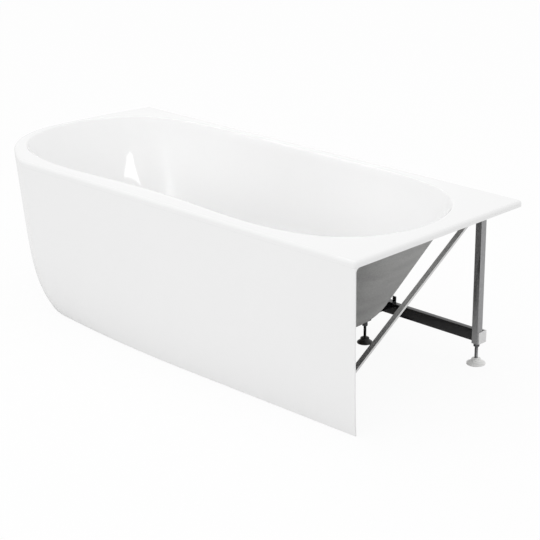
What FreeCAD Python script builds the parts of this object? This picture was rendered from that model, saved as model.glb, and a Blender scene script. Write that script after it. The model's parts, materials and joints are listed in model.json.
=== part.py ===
"""Acrylic bath for a corner: rounded free end, one-piece apron, open right end, steel frame, levelling feet.

Millimetres.  +X runs to the open right end, +Y to the back wall, +Z up.
The origin is on the floor, under the middle of the bath.
"""
import FreeCAD, Part
import math
import os

import Sketcher
from FreeCAD import Placement, Rotation, Vector

# name, value, meaning.  Lengths in millimetres, angles in degrees.
SIZES = [
    ("overall_length", 1800, "tip of the rounded end to the right wall"),
    ("overall_width", 800, "front of the rim to the back wall"),
    ("rim_height", 550, "floor to the top of the rim"),
    ("skin", 5, "thickness of the acrylic"),
    ("bond", 0.1, "glue line between two layers"),
    ("backing", 8, "resin and glass layer under the basin"),
    ("rim_round", 11, "rounding of the rim's outer edge"),
    ("lip_drop", 20, "height of the rim's turned-down lip"),
    ("corner_round", 12, "plan rounding of the three corners"),
    ("corner_web", 15, "rounding between lip and apron at the open end"),
    # plan of the rim: straight front, then four arcs round the free end to the back wall
    # their radii are shares of the bath's width
    ("top_bend_share", 0.1375, "first arc behind the straight front"),
    ("top_bend_turn", 27.5, "its angle"),
    ("top_bevel_share", 1.025, "second, flatter arc"),
    ("top_bevel_turn", 11, "its angle"),
    ("top_end_share", 0.4225, "arc of the rounded end"),
    ("top_end_turn", 54.3, "its angle"),
    ("top_return_share", 2.8375, "nearly straight arc back to the wall"),
    # plan of the apron's lower edge
    ("toe_in_front", 10, "apron's lower edge behind the rim at the front"),
    ("toe_in_end", 154, "apron's lower edge behind the rim at the rounded end"),
    ("foot_bow_share", 6.8375, "slow bow of the lower edge"),
    ("foot_bow_turn", 6.8, "its angle"),
    ("foot_bend_share", 0.4175, "arc at the front of the rounded end"),
    ("foot_bend_turn", 33.5, "its angle"),
    ("foot_end_share", 0.36, "arc of the rounded end"),
    ("foot_end_turn", 48, "its angle"),
    ("foot_return_share", 2.8075, "nearly straight arc back to the wall"),
    ("lean_share", 0.51, "share of the toe-in that is a straight lean"),
    ("tuck_power", 7.3, "how late the rest of the toe-in comes"),
    ("apron_floor_gap", 4, "apron's lower edge above the floor"),
    ("apron_wall_gap", 10, "apron's end short of the back wall plane"),
    ("apron_backing", 3, "resin layer behind the apron"),
    ("apron_backing_edge", 14, "backing set back from the apron's edges"),
    # basin
    ("deck_right", 62, "least width of the deck at the right wall"),
    ("deck_left", 20, "the same at the rounded end"),
    ("deck_back", 38, "the same at the back wall"),
    ("deck_front", 46, "the same at the front, beside the waist"),
    ("opening_power", 5.5, "how square the oval's ends are"),
    ("waist_dip", 26, "front side of the opening bends in at its middle"),
    ("waist_half_length", 520, "reach of that bend each way"),
    ("floor_height", 134, "room's floor to the basin's floor"),
    ("opening_round", 10, "rounding from deck to basin wall"),
    ("least_round", 0.5, "rounding left where a layer is thicker than that"),
    ("end_lean", 33.4, "slope of the two back rests, from upright"),
    ("side_lean", 7, "slope of the long sides, from upright"),
    ("end_foot_radius", 150, "wall to floor at the ends"),
    ("side_foot_radius", 170, "wall to floor at the sides"),
    # waste
    ("waste_bore", 52, "hole in the basin floor"),
    ("flange_diameter", 70, "metal flange seen in the basin"),
    ("flange_thick", 2.5, "its rim"),
    ("plug_diameter", 60, "click plug"),
    ("plug_thick", 4, "its disc"),
    ("plug_stem", 10, "its stem"),
    ("gasket_diameter", 78, "seal under the floor"),
    ("gasket_thick", 3, "its thickness"),
    ("tail_diameter", 48, "threaded tail of the waste"),
    ("tail_wall", 2.5, "its wall"),
    ("tail_length", 46, "its length"),
    ("guide_width", 16, "bridge in the tail that guides the plug's stem"),
    ("guide_height", 8, "its height"),
    ("guide_drop", 24, "basin floor to the bridge's top"),
    ("waste_nut_diameter", 72, "ring nut that clamps the seal"),
    ("waste_nut_height", 8, "its height"),
    ("trap_diameter", 84, "shallow trap"),
    ("trap_height", 84, "its height"),
    ("trap_bottom", 22, "floor to the trap"),
    ("trap_wall", 3, "its wall"),
    ("branch_length", 20, "trap's side to the end of its branch"),
    ("branch_wall", 4, "branch's wall"),
    ("outlet_diameter", 40, "outlet spigot"),
    ("outlet_wall", 2, "its wall"),
    ("outlet_reach", 200, "trap axis to the end of the spigot"),
    ("outlet_height", 46, "floor to the spigot's axis"),
    ("spigot_length", 60, "free end that takes the drain pipe"),
    ("stop_width", 4, "stop ring behind it"),
    ("stop_height", 2, "its height above the pipe"),
    ("collar_diameter", 56, "union collar at the root of the spigot"),
    ("collar_length", 16, "its length"),
    # board and timber
    ("board_end_gap", 440, "each end of the bath to the board under the basin floor"),
    ("board_width", 240, "width of that board"),
    ("board_thick", 15, "its thickness"),
    ("board_hole", 92, "hole for the waste"),
    ("batten_thick", 18, "timber under the rim"),
    ("batten_width", 26, "batten along the back edge"),
    ("batten_length", 1000, "its length"),
    ("block_length", 112, "corner block above the post, along X"),
    ("block_width", 160, "the same along Y"),
    ("block_inset", 15, "corner block inside the rim's outer edges"),
    # steel frame
    ("tube_side", 25, "square tube of post and cross members"),
    ("tube_wall", 1.5, "wall of all tubes"),
    ("rail_height", 40, "rail section"),
    ("rail_depth", 20, "rail section"),
    ("post_from_right", 83.5, "right wall plane to the post's axis"),
    ("post_from_back", 101.5, "back wall plane to the post's axis"),
    ("post_drop", 9, "post's lower end below the rails"),
    ("front_rail_inset", 40, "front rim plane to the front rail"),
    ("back_rail_gap", 260, "tip of the rounded end to the back rail"),
    ("front_rail_gap", 448, "tip of the rounded end to the front rail"),
    ("cross_inset", 41, "axis of each cross member inside the board's end"),
    ("cross_width", 20, "width of the cross members"),
    ("plate_thick", 4, "post's top plate"),
    ("plate_margin", 6, "plate around the post"),
    ("plate_reach", 62, "plate in front of the post, over the brace"),
    ("brace_width", 18, "flat bar across the open end"),
    ("brace_thick", 8, "its thickness"),
    ("brace_head_gap", 17.7, "its upper corner in front of the post"),
    ("brace_foot_gap", 5.6, "its lower corner in front of the front rail"),
    ("brace_foot_margin", 3, "plate in front of its lower end"),
    ("bracket_thick", 3, "folded steel brackets"),
    ("brace_foot_length", 44, "plate under the brace, along Y"),
    ("brace_foot_width", 30, "the same along X"),
    ("clamp_height", 40, "pale bracket at the post's foot"),
    ("clamp_width", 38, "the same along Y"),
    ("clamp_front", 4, "bracket behind the post's front face"),
    ("clamp_return", 34, "its leg behind the post"),
    ("saddle_offset", 21, "clips over the back rail, each outside its cross member's axis"),
    ("saddle_length", 58, "their length"),
    ("saddle_lug", 15, "upturned lug of the clip"),
    ("saddle_lug_width", 14, "its width"),
    ("spacer_size", 32, "block between front rail and apron"),
    ("spacer_spread", 480, "distance between spacers"),
    ("spacer_middle", 200, "middle spacer on X"),
    ("cap_flange", 3, "rail end cap outside the rail"),
    ("cap_plug", 14, "cap inside the rail"),
    ("seat", 0.2, "play of loose or glued pieces at their seat"),
    # levelling feet
    ("outer_rod", 12, "threaded rods of the three outer feet"),
    ("outer_pitch", 1.75, "their advance in one turn"),
    ("outer_rod_length", 84, "their length"),
    ("outer_nut_flats", 19, "their nuts, across flats"),
    ("outer_nut_height", 10, "height of the lock nut"),
    ("outer_weld_height", 9, "height of the welded nut"),
    ("outer_pad", 62, "their pads"),
    ("inner_rod", 10, "threaded rods of the four inner feet"),
    ("inner_pitch", 1.5, "their advance in one turn"),
    ("inner_rod_length", 82, "their length"),
    ("inner_nut_flats", 17, "their nuts, across flats"),
    ("inner_nut_height", 8, "height of the lock nut"),
    ("inner_weld_height", 8, "height of the welded nut"),
    ("inner_pad", 52, "their pads"),
    ("rod_socket", 10, "floor to the rod's lower end"),
    ("rod_play", 0.08, "radial play of the rod in nuts and pads"),
    ("pad_rim", 4, "edge height of a pad"),
    ("pad_boss", 30, "boss around the rod's socket"),
    ("pad_skirt", 12, "height where the cone meets the boss"),
    ("pad_height", 21, "height of a pad"),
    ("foot_from_rail_end", 30, "outer feet from the free ends of their rails"),
    ("inner_foot_spread", 187, "inner feet in front of and behind the middle"),
    ("inner_foot_offset", 18, "inner feet outside their cross member's axis"),
    ("foot_plate_width", 36, "plate welded under a cross member for a foot"),
    ("foot_plate_edge", 12, "plate beyond the rod"),
]

RING_POINTS = 56        # points round the basin
CURVE_STEPS = 10        # points along each arc of a plan outline
FRONT_STEPS = 12        # points along the straight front
FRONT_GRADING = 1.8     # they stand closer together towards the first arc
EDGE_STEPS = 5          # points on the basin's edge rounding
FOOT_STEPS = 7          # points on the arc from wall to floor

doc = FreeCAD.newDocument("bath")
sheet = doc.addObject("Spreadsheet::Sheet", "Sizes")
for row, (alias, value, meaning) in enumerate(SIZES, start=1):
    sheet.set("A%d" % row, meaning)
    sheet.set("B%d" % row, str(value))
    sheet.setAlias("B%d" % row, alias)
doc.recompute()

nodes = []              # the finished sub-parts, in the order of the report


def size(alias):
    """Value of a named size in the sheet."""
    return float(sheet.get(alias))


def finish(piece, label):
    """Give a finished sub-part the name of its node."""
    piece.Label = label
    nodes.append(piece)
    return piece


# ---------------------------------------------------------------- levels and places

RIGHT = size("overall_length") / 2
BACK = size("overall_width") / 2
RIM = size("rim_height")
DECK_UNDER = RIM - size("skin")
LIP_END = RIM - size("lip_drop")
FLOOR_TOP = size("floor_height")
BASIN_DEPTH = RIM - FLOOR_TOP
OPENING_A = RIGHT - (size("deck_left") + size("deck_right")) / 2
OPENING_B = BACK - (size("deck_front") + size("deck_back")) / 2
OPENING_X = (size("deck_left") - size("deck_right")) / 2
OPENING_Y = (size("deck_front") - size("deck_back")) / 2
INNER_OFFSET = size("skin") + size("bond")
OUTER_OFFSET = INNER_OFFSET + size("backing")
BOARD_TOP = FLOOR_TOP - OUTER_OFFSET - size("bond")
CROSS_TOP = BOARD_TOP - size("board_thick")
RAIL_BOTTOM = CROSS_TOP - size("tube_side")
RAIL_TOP = RAIL_BOTTOM + size("rail_height")
POST_X = RIGHT - size("post_from_right")
POST_Y = BACK - size("post_from_back")
POST_FRONT = POST_Y - size("tube_side") / 2
POST_RIGHT = POST_X + size("tube_side") / 2
POST_BOTTOM = RAIL_BOTTOM - size("post_drop")
BLOCK_BOTTOM = DECK_UNDER - size("batten_thick")
POST_TOP = BLOCK_BOTTOM - size("plate_thick")
FRONT_RAIL_OUT = -BACK + size("front_rail_inset")
FRONT_RAIL_IN = FRONT_RAIL_OUT + size("rail_depth")
BACK_RAIL_LEFT = -RIGHT + size("back_rail_gap")
FRONT_RAIL_LEFT = -RIGHT + size("front_rail_gap")
CROSS_X = RIGHT - size("board_end_gap") - size("cross_inset")
BACK_RAIL_FRONT = POST_FRONT
BACK_RAIL_BACK = POST_FRONT + size("rail_depth")


# ---------------------------------------------------------------- helpers for shapes

def box(name, length, width, height, x, y, z):
    """Part box; the three lengths are expressions on the sheet, the corner is a place worked out above."""
    piece = doc.addObject("Part::Box", name)
    piece.setExpression("Length", length)
    piece.setExpression("Width", width)
    piece.setExpression("Height", height)
    piece.Placement = Placement(Vector(x, y, z), Rotation())
    return piece


def cylinder(name, diameter, height, x, y, z, turn=None):
    """Part cylinder whose diameter and height are expressions, standing up unless it is turned."""
    piece = doc.addObject("Part::Cylinder", name)
    piece.setExpression("Radius", "(%s) / 2" % diameter)
    piece.setExpression("Height", height)
    piece.Placement = Placement(Vector(x, y, z), turn or Rotation())
    return piece


def fuse(name, pieces):
    """One solid from several that touch."""
    piece = doc.addObject("Part::MultiFuse", name)
    piece.Shapes = pieces
    piece.Refine = True
    return piece


def cut(name, base, tool):
    """Base with the tool taken away."""
    piece = doc.addObject("Part::Cut", name)
    piece.Base = base
    piece.Tool = tool
    return piece


def group(name, pieces):
    """Separate equal solids in one node."""
    piece = doc.addObject("Part::Compound", name)
    piece.Links = pieces
    return piece


def origin_plane(body, role):
    """One of a body's own three base planes."""
    for feature in body.Origin.OriginFeatures:
        if feature.Role == role:
            return feature
    raise ValueError(role)


def centred_rectangle(sketch, width, height, name):
    """Rectangle about the sketch's origin, with its two lengths bound to expressions."""
    start = sketch.GeometryCount
    corners = [(-10, -10), (10, -10), (10, 10), (-10, 10)]
    for index, corner in enumerate(corners):
        following = corners[(index + 1) % 4]
        sketch.addGeometry(Part.LineSegment(Vector(*corner, 0), Vector(*following, 0)), False)
    for index in range(4):
        following = start + (index + 1) % 4
        sketch.addConstraint(Sketcher.Constraint("Coincident", start + index, 2, following, 1))
        direction = "Horizontal" if index % 2 == 0 else "Vertical"
        sketch.addConstraint(Sketcher.Constraint(direction, start + index))
    sketch.addConstraint(Sketcher.Constraint("Symmetric", start, 1, start + 2, 1, -1, 1))
    for length, edge, kind in ((width, start, "DistanceX"), (height, start + 1, "DistanceY")):
        index = sketch.addConstraint(Sketcher.Constraint(kind, edge, 1, edge, 2, 20))
        sketch.renameConstraint(index, name + kind)
        sketch.setExpression("Constraints." + name + kind, length)


def tube(label, width, height, length, placement):
    """Hollow steel section: two rectangles in one sketch, padded to the tube's length."""
    body = doc.addObject("PartDesign::Body", label)
    sketch = body.newObject("Sketcher::SketchObject", label + "_section")
    sketch.AttachmentSupport = [(origin_plane(body, "XY_Plane"), "")]
    sketch.MapMode = "FlatFace"
    centred_rectangle(sketch, width, height, "outer")
    inner = "%s - 2 * Sizes.tube_wall"
    centred_rectangle(sketch, inner % width, inner % height, "inner")
    pad = body.newObject("PartDesign::Pad", label + "_pad")
    pad.Profile = sketch
    pad.Length = length
    body.Placement = placement
    return body


def turned(label, profile, placement):
    """Revolved piece: a profile of (radius, height) expressions turned about the body's Z axis."""
    body = doc.addObject("PartDesign::Body", label)
    sketch = body.newObject("Sketcher::SketchObject", label + "_profile")
    sketch.AttachmentSupport = [(origin_plane(body, "XZ_Plane"), "")]
    sketch.MapMode = "FlatFace"
    count = len(profile)
    spread = [(10 + 5 * math.cos(k), 10 + 5 * math.sin(k))
              for k in (2 * math.pi * (i + 0.5) / count - math.pi for i in range(count))]
    for index in range(count):
        first = Vector(*spread[index], 0)
        second = Vector(*spread[(index + 1) % count], 0)
        sketch.addGeometry(Part.LineSegment(first, second), False)
    for index in range(count):
        sketch.addConstraint(Sketcher.Constraint("Coincident", index, 2, (index + 1) % count, 1))
    for index, (radius, height) in enumerate(profile):
        for kind, text, axis in (("DistanceX", radius, "r"), ("DistanceY", height, "z")):
            if text == "0":
                line = -2 if kind == "DistanceX" else -1
                sketch.addConstraint(Sketcher.Constraint("PointOnObject", index, 1, line))
                continue
            number = sketch.addConstraint(Sketcher.Constraint(kind, -1, 1, index, 1, 10))
            name = "%s%d" % (axis, index)
            sketch.renameConstraint(number, name)
            sketch.setExpression("Constraints." + name, text)
    spin = body.newObject("PartDesign::Revolution", label + "_turn")
    spin.Profile = sketch
    spin.ReferenceAxis = (sketch, ["V_Axis"])
    spin.Angle = 360
    body.Placement = placement
    return body


def free_form(label, shape):
    """Moulded piece whose shape is worked out from the sizes by Part's own functions."""
    piece = doc.addObject("Part::Feature", label)
    piece.Shape = shape
    return piece


# ---------------------------------------------------------------- plan outlines

def arc_edges(start_y, bends, last_radius, tip_x, end_y):
    """Straight front, arcs that turn right one after another, and a last arc that ends on y = end_y.

    Each edge is (centre, radius, start direction, turn), and the list starts with the x where the front
    ends.  The whole chain is slid along X until the westernmost point of its arcs lies on tip_x.
    """
    x, y, heading = 0.0, start_y, 180.0
    edges = []
    tip = None
    for radius, turn in list(bends) + [(last_radius, None)]:
        aim = math.radians(heading - 90)
        centre_x = x + radius * math.cos(aim)
        centre_y = y + radius * math.sin(aim)
        if turn is None:
            final = 180 - math.degrees(math.asin((end_y - centre_y) / radius))
            turn = heading + 90 - final
        edges.append([centre_x, centre_y, radius, heading + 90, turn])
        if heading >= 90 > heading - turn:
            tip = centre_x - radius
        heading -= turn
        angle = math.radians(heading + 90)
        x = centre_x + radius * math.cos(angle)
        y = centre_y + radius * math.sin(angle)
    shift = tip_x - tip
    for edge in edges:
        edge[0] += shift
    return shift, edges


def arc_point(edge, share):
    """Point at a share of an arc edge."""
    centre_x, centre_y, radius, start, turn = edge
    angle = math.radians(start - turn * share)
    return centre_x + radius * math.cos(angle), centre_y + radius * math.sin(angle)


def rim_chain(end_y):
    """Plan of the rim, from the right end to the back wall."""
    bends = [(2 * BACK * size("top_%s_share" % part), size("top_%s_turn" % part))
             for part in ("bend", "bevel", "end")]
    return arc_edges(-BACK, bends, 2 * BACK * size("top_return_share"), -RIGHT, end_y)


def foot_chain(end_y):
    """Plan of the apron's lower edge."""
    bends = [(2 * BACK * size("foot_%s_share" % part), size("foot_%s_turn" % part))
             for part in ("bow", "bend", "end")]
    start_y = -BACK + size("toe_in_front")
    tip_x = -RIGHT + size("toe_in_end")
    return arc_edges(start_y, bends, 2 * BACK * size("foot_return_share"), tip_x, end_y)


def dense_points(chain, start_y, right_x):
    """Many points along a chain, evenly enough to measure lengths on."""
    front_end, edges = chain
    points = [(right_x + (front_end - right_x) * k / 400, start_y) for k in range(401)]
    for edge in edges:
        points += [arc_point(edge, k / 120) for k in range(1, 121)]
    return points


def at_shares(points, shares):
    """Points at given shares of a polyline's length."""
    lengths = [0.0]
    for first, second in zip(points, points[1:]):
        lengths.append(lengths[-1] + math.dist(first, second))
    result = []
    index = 0
    for share in shares:
        target = share * lengths[-1]
        while index < len(points) - 2 and lengths[index + 1] < target:
            index += 1
        part = (target - lengths[index]) / (lengths[index + 1] - lengths[index])
        (x0, y0), (x1, y1) = points[index], points[index + 1]
        result.append((x0 + (x1 - x0) * part, y0 + (y1 - y0) * part))
    return result


def apron_shares(chain, start_y):
    """Shares of the rim's length at which the apron has points: few on the front, many on the arcs."""
    front_end, edges = chain
    front = RIGHT - front_end
    lengths = [math.radians(edge[4]) * edge[2] for edge in edges]
    total = front + sum(lengths)
    shares = [front / total * (1 - (1 - k / FRONT_STEPS) ** FRONT_GRADING) for k in range(FRONT_STEPS + 1)]
    done = front
    for length in lengths:
        shares += [(done + length * k / CURVE_STEPS) / total for k in range(1, CURVE_STEPS + 1)]
        done += length
    return shares


def toe_in(z):
    """Share of the toe-in reached at a height, and how fast it grows per millimetre of drop.

    It is a straight lean plus a tuck that comes late.
    """
    height = LIP_END - size("apron_floor_gap")
    drop = (LIP_END - z) / height
    lean = size("lean_share")
    power = size("tuck_power")
    share = lean * drop + (1 - lean) * drop ** power
    growth = (lean + (1 - lean) * power * drop ** (power - 1)) / height
    return share, growth


def apron_section(z, right_x, end_gap, inset):
    """Points of the apron's outside at height z, moved inwards by inset along the plan's normal."""
    end_y = BACK - end_gap
    top_chain = rim_chain(end_y)
    shares = apron_shares(top_chain, -BACK)
    top = at_shares(dense_points(top_chain, -BACK, right_x), shares)
    low_y = -BACK + size("toe_in_front")
    low = at_shares(dense_points(foot_chain(end_y), low_y, right_x), shares)
    mix, slope = toe_in(z)
    outside = [(a[0] + (b[0] - a[0]) * mix, a[1] + (b[1] - a[1]) * mix) for a, b in zip(top, low)]
    if inset == 0:
        return outside
    result = []
    last = len(outside) - 1
    for index, (x, y) in enumerate(outside):
        before = outside[max(index - 1, 0)]
        after = outside[min(index + 1, last)]
        along = math.dist(before, after)
        normal_x = (after[1] - before[1]) / along
        normal_y = -(after[0] - before[0]) / along
        lean = math.dist(top[index], low[index]) * slope
        depth = inset * math.sqrt(1 + lean * lean)
        result.append((x + depth * normal_x, y + depth * normal_y))
    result[0] = (right_x, result[0][1])
    result[last] = (result[last][0], end_y)
    return result


def skin_solid(heights, right_x, end_gap, outer, inner):
    """Wall between two insets of the apron's outside, lofted through sections at the given heights."""
    parameters = None
    sections = []
    for z in heights:
        curves = []
        for inset in (outer, inner):
            flat = apron_section(z, right_x, end_gap, inset)
            points = [Vector(x, y, z) for x, y in flat]
            if parameters is None:
                parameters = [0.0]
                for first, second in zip(points, points[1:]):
                    parameters.append(parameters[-1] + (second - first).Length)
            curve = Part.BSplineCurve()
            curve.interpolate(Points=points, Parameters=parameters)
            curves.append((curve, points))
        (out_curve, out_points), (in_curve, in_points) = curves
        in_edge = in_curve.toShape()
        in_edge.reverse()
        edges = [
            out_curve.toShape(),
            Part.LineSegment(out_points[-1], in_points[-1]).toShape(),
            in_edge,
            Part.LineSegment(in_points[0], out_points[0]).toShape(),
        ]
        sections.append(Part.Wire(edges))
    return Part.makeLoft(sections, True, False)


def graded_heights(top, bottom):
    """Heights from top to bottom, closer together where the wall tucks under."""
    shares = [0, 0.15, 0.3, 0.45, 0.58, 0.69, 0.78, 0.855, 0.91, 0.955, 1]
    return [top + (bottom - top) * share for share in shares]


def apron_inner_y(x, z, inset):
    """Y of the inside of the apron's front at a place on X and Z."""
    points = apron_section(z, RIGHT, size("apron_wall_gap"), inset)
    for (x0, y0), (x1, y1) in zip(points, points[1:]):
        if x1 <= x <= x0:
            return y0 + (y1 - y0) * (x0 - x) / (x0 - x1)
    raise ValueError(x)


def rim_wire(z):
    """Closed plan of the rim with sharp corners, at height z."""
    front_end, edges = rim_chain(BACK)
    corner = Vector(RIGHT, -BACK, z)
    here = Vector(front_end, -BACK, z)
    parts = [Part.LineSegment(corner, here).toShape()]
    for edge in edges:
        middle = Vector(*arc_point(edge, 0.5), z)
        end = Vector(*arc_point(edge, 1.0), z)
        parts.append(Part.Arc(here, middle, end).toShape())
        here = end
    far = Vector(RIGHT, BACK, z)
    parts.append(Part.LineSegment(here, far).toShape())
    parts.append(Part.LineSegment(far, corner).toShape())
    return Part.Wire(parts)


# ---------------------------------------------------------------- basin surface

def oval(turn):
    """Point of a unit oval with squarer ends, |x|^power + y^2 = 1, in the direction of an angle."""
    across, along = math.sin(turn), math.cos(turn)
    low, high = 1.0, 1.5
    for _ in range(40):
        middle = (low + high) / 2
        inside = abs(middle * along) ** size("opening_power") + (middle * across) ** 2 < 1
        low, high = (middle, high) if inside else (low, middle)
    return low * along, low * across


def opening_point(unit_x, unit_y):
    """Point of the basin opening: the unit oval stretched, with a waist on the front side."""
    x = OPENING_A * unit_x
    y = OPENING_B * unit_y
    reach = size("waist_half_length")
    if y < 0 and abs(x) < reach:
        y += size("waist_dip") * math.cos(math.pi * x / (2 * reach)) ** 2
    return x + OPENING_X, y + OPENING_Y


def wall_inset(tilt, foot_radius):
    """How far a basin wall runs inwards from the opening to the flat floor."""
    edge = size("opening_round")
    drop = BASIN_DEPTH - edge
    slope = (drop + edge * math.sin(tilt) - foot_radius * (1 - math.sin(tilt))) / math.cos(tilt)
    return (edge + foot_radius) * math.cos(tilt) + slope * math.sin(tilt)


def wall_tilt(inset, foot_radius):
    """Angle from upright at which a basin wall ends the given distance inwards."""
    low, high = math.radians(-20), math.radians(60)
    for _ in range(40):
        middle = (low + high) / 2
        if wall_inset(middle, foot_radius) < inset:
            low = middle
        else:
            high = middle
    return low


def wall_profile(tilt, foot_radius, offset):
    """(inset, height) down a basin wall: edge rounding, straight slope, foot arc.

    offset moves the profile into the material, so the same profile gives both sides of a layer.
    """
    edge = max(size("opening_round") - offset, size("least_round"))
    edge_z = RIM - size("opening_round")
    points = []
    for step in range(EDGE_STEPS):
        angle = math.pi / 2 + (tilt - math.pi / 2) * step / (EDGE_STEPS - 1)
        points.append((edge * math.cos(angle), edge_z + edge * math.sin(angle)))
    centre_inset = wall_inset(tilt, foot_radius)
    centre_z = FLOOR_TOP + foot_radius
    radius = foot_radius + offset
    for step in range(FOOT_STEPS):
        angle = tilt + (math.pi / 2 - tilt) * step / (FOOT_STEPS - 1)
        points.append((centre_inset - radius * math.cos(angle), centre_z - radius * math.sin(angle)))
    return points


def basin_rings(offset):
    """Closed curves round the basin, from the deck edge down to the edge of the flat floor.

    Each column of points stands in the plane from a point of the opening to its partner on the floor's
    outline, which is the same oval drawn smaller, so columns never cross.
    """
    end_foot = size("end_foot_radius")
    side_foot = size("side_foot_radius")
    end_inset = wall_inset(math.radians(size("end_lean")), end_foot)
    side_inset = wall_inset(math.radians(size("side_lean")), side_foot)
    floor_half_length = OPENING_A - end_inset
    floor_half_width = OPENING_B - side_inset
    columns = []
    for index in range(RING_POINTS):
        unit_x, unit_y = oval(2 * math.pi * index / RING_POINTS)
        x, y = opening_point(unit_x, unit_y)
        floor_x = OPENING_X + floor_half_length * unit_x
        floor_y = OPENING_Y + floor_half_width * unit_y
        inset = math.dist((x, y), (floor_x, floor_y))
        inward_x = (floor_x - x) / inset
        inward_y = (floor_y - y) / inset
        ends = abs(unit_x) ** size("opening_power")
        foot = side_foot + (end_foot - side_foot) * ends
        profile = wall_profile(wall_tilt(inset, foot), foot, offset)
        columns.append([Vector(x + inward_x * reach, y + inward_y * reach, z) for reach, z in profile])
    rings = []
    parameters = None
    for points in zip(*columns):
        if parameters is None:
            parameters = [0.0]
            for first, second in zip(points, points[1:] + points[:1]):
                parameters.append(parameters[-1] + (second - first).Length)
        curve = Part.BSplineCurve()
        curve.interpolate(Points=list(points), PeriodicFlag=True, Parameters=parameters)
        rings.append(Part.Wire(curve.toShape()))
    return rings


def wall_faces(rings):
    """Basin walls: the edge rounding, the straight slope and the foot arc, each a surface of its own."""
    slope_top = EDGE_STEPS - 1
    foot_top = EDGE_STEPS
    faces = Part.makeLoft(rings[:slope_top + 1], False, False).Faces
    faces += Part.makeLoft([rings[slope_top], rings[foot_top]], False, True).Faces
    faces += Part.makeLoft(rings[foot_top:], False, False).Faces
    return faces


def flat_face(*wires):
    """Plane face with an outline and, if given, a hole."""
    return Part.makeFace(list(wires), "Part::FaceMakerBullseye").Faces


def sewn_solid(faces):
    """Solid inside faces that meet edge to edge."""
    skin = Part.makeShell(faces)
    skin.sewShape()
    solid = Part.Solid(Part.Shell(skin.Faces))
    if solid.Volume < 0:
        solid.reverse()
    return solid


def basin_block(offset):
    """Solid that fills the basin up to its edge, grown into the material by an offset."""
    rings = basin_rings(offset)
    return sewn_solid(flat_face(rings[0]) + wall_faces(rings) + flat_face(rings[-1]))


def deck_tray():
    """Deck with its rounded rim and turned-down lip, before the basin opening is cut."""
    block = Part.Face(rim_wire(LIP_END)).extrude(Vector(0, 0, size("lip_drop")))
    upright = [edge for edge in block.Edges
               if abs(edge.BoundBox.ZLength - size("lip_drop")) < 0.01
               and (edge.BoundBox.XMax > RIGHT - 1 or edge.BoundBox.YMax > BACK - 1)]
    block = block.makeFillet(size("corner_round"), upright)
    bottom = [face for face in block.Faces if face.BoundBox.ZMax < LIP_END + 0.01][0]
    inner = bottom.makeOffset2D(-size("skin"))
    top_edges = [edge for edge in block.Edges if edge.BoundBox.ZMin > RIM - 0.01]
    block = block.makeFillet(size("rim_round"), top_edges)
    hollow = inner.extrude(Vector(0, 0, size("lip_drop") - size("skin")))
    top_edges = [edge for edge in hollow.Edges if edge.BoundBox.ZMin > DECK_UNDER - 0.01]
    hollow = hollow.makeFillet(size("rim_round") - size("skin"), top_edges)
    return block.cut(hollow)


def corner_web():
    """Small rounded web between the lip and the apron at the open end."""
    side = size("corner_web")
    skin = size("skin")
    low_y = -BACK + skin
    web = Part.makeBox(skin, side, side, Vector(RIGHT - skin, low_y, LIP_END - side))
    centre = Vector(RIGHT - skin, low_y + side, LIP_END - side)
    round_tool = Part.makeCylinder(side, skin, centre, Vector(1, 0, 0))
    return web.cut(round_tool)


def make_bath_shell():
    """White acrylic moulding: deck, lip and basin in one sheet.

    The deck's two plane faces get the basin's edge as a hole.  The walls hang in those holes and end in
    two floor faces with the waste bore between them.
    """
    tray = deck_tray()
    faces = []
    bores = []
    for face in tray.Faces:
        level = face.BoundBox.ZMin
        flat = face.BoundBox.ZLength < 0.01
        if flat and abs(level - RIM) < 0.01:
            offset = 0
        elif flat and abs(level - DECK_UNDER) < 0.01:
            offset = size("skin")
        else:
            faces.append(face)
            continue
        rings = basin_rings(offset)
        bore = Part.Wire(Part.makeCircle(size("waste_bore") / 2, Vector(0, 0, FLOOR_TOP - offset)))
        bores.append(bore)
        faces += flat_face(face.OuterWire, rings[0]) + wall_faces(rings) + flat_face(rings[-1], bore)
    faces += Part.makeRuledSurface(*bores).Faces
    return finish(free_form("bath_shell", sewn_solid(faces)), "bath_shell")


def make_basin_backing():
    """Grey resin and glass layer that stiffens the basin from below."""
    layer = basin_block(OUTER_OFFSET).cut(basin_block(INNER_OFFSET))
    bore = Part.makeCylinder(size("gasket_diameter") / 2 + size("seat"), 6 * size("backing"),
                             Vector(0, 0, FLOOR_TOP - 4 * size("backing")))
    return finish(free_form("basin_backing", layer.cut(bore).Solids[0]), "basin_backing")


def make_apron():
    """White acrylic skirt round the front and the rounded end, butted to the lip's lower edge."""
    heights = graded_heights(LIP_END, size("apron_floor_gap"))
    skin = skin_solid(heights, RIGHT, size("apron_wall_gap"), 0, size("skin"))
    web = corner_web()
    return finish(free_form("apron", skin.fuse([web]).Solids[0]), "apron")


def make_apron_backing():
    """Thin resin layer behind the apron, set back from its edges."""
    edge = size("apron_backing_edge")
    inside = size("skin") + size("bond")
    heights = graded_heights(LIP_END - edge, size("apron_floor_gap") + edge)
    solid = skin_solid(heights, RIGHT - edge, size("apron_wall_gap") + edge,
                       inside, inside + size("apron_backing"))
    return finish(free_form("apron_backing", solid), "apron_backing")


# ---------------------------------------------------------------- board and timber

def make_base_board():
    """Board under the basin floor, which carries the bath on the cross members."""
    plank = box("board_blank", "Sizes.overall_length - 2 * Sizes.board_end_gap", "Sizes.board_width",
                "Sizes.board_thick", size("board_end_gap") - RIGHT, -size("board_width") / 2, CROSS_TOP)
    hole = cylinder("board_bore", "Sizes.board_hole", "Sizes.board_thick", 0, 0, CROSS_TOP)
    finish(cut("base_board", plank, hole), "base_board")


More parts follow.
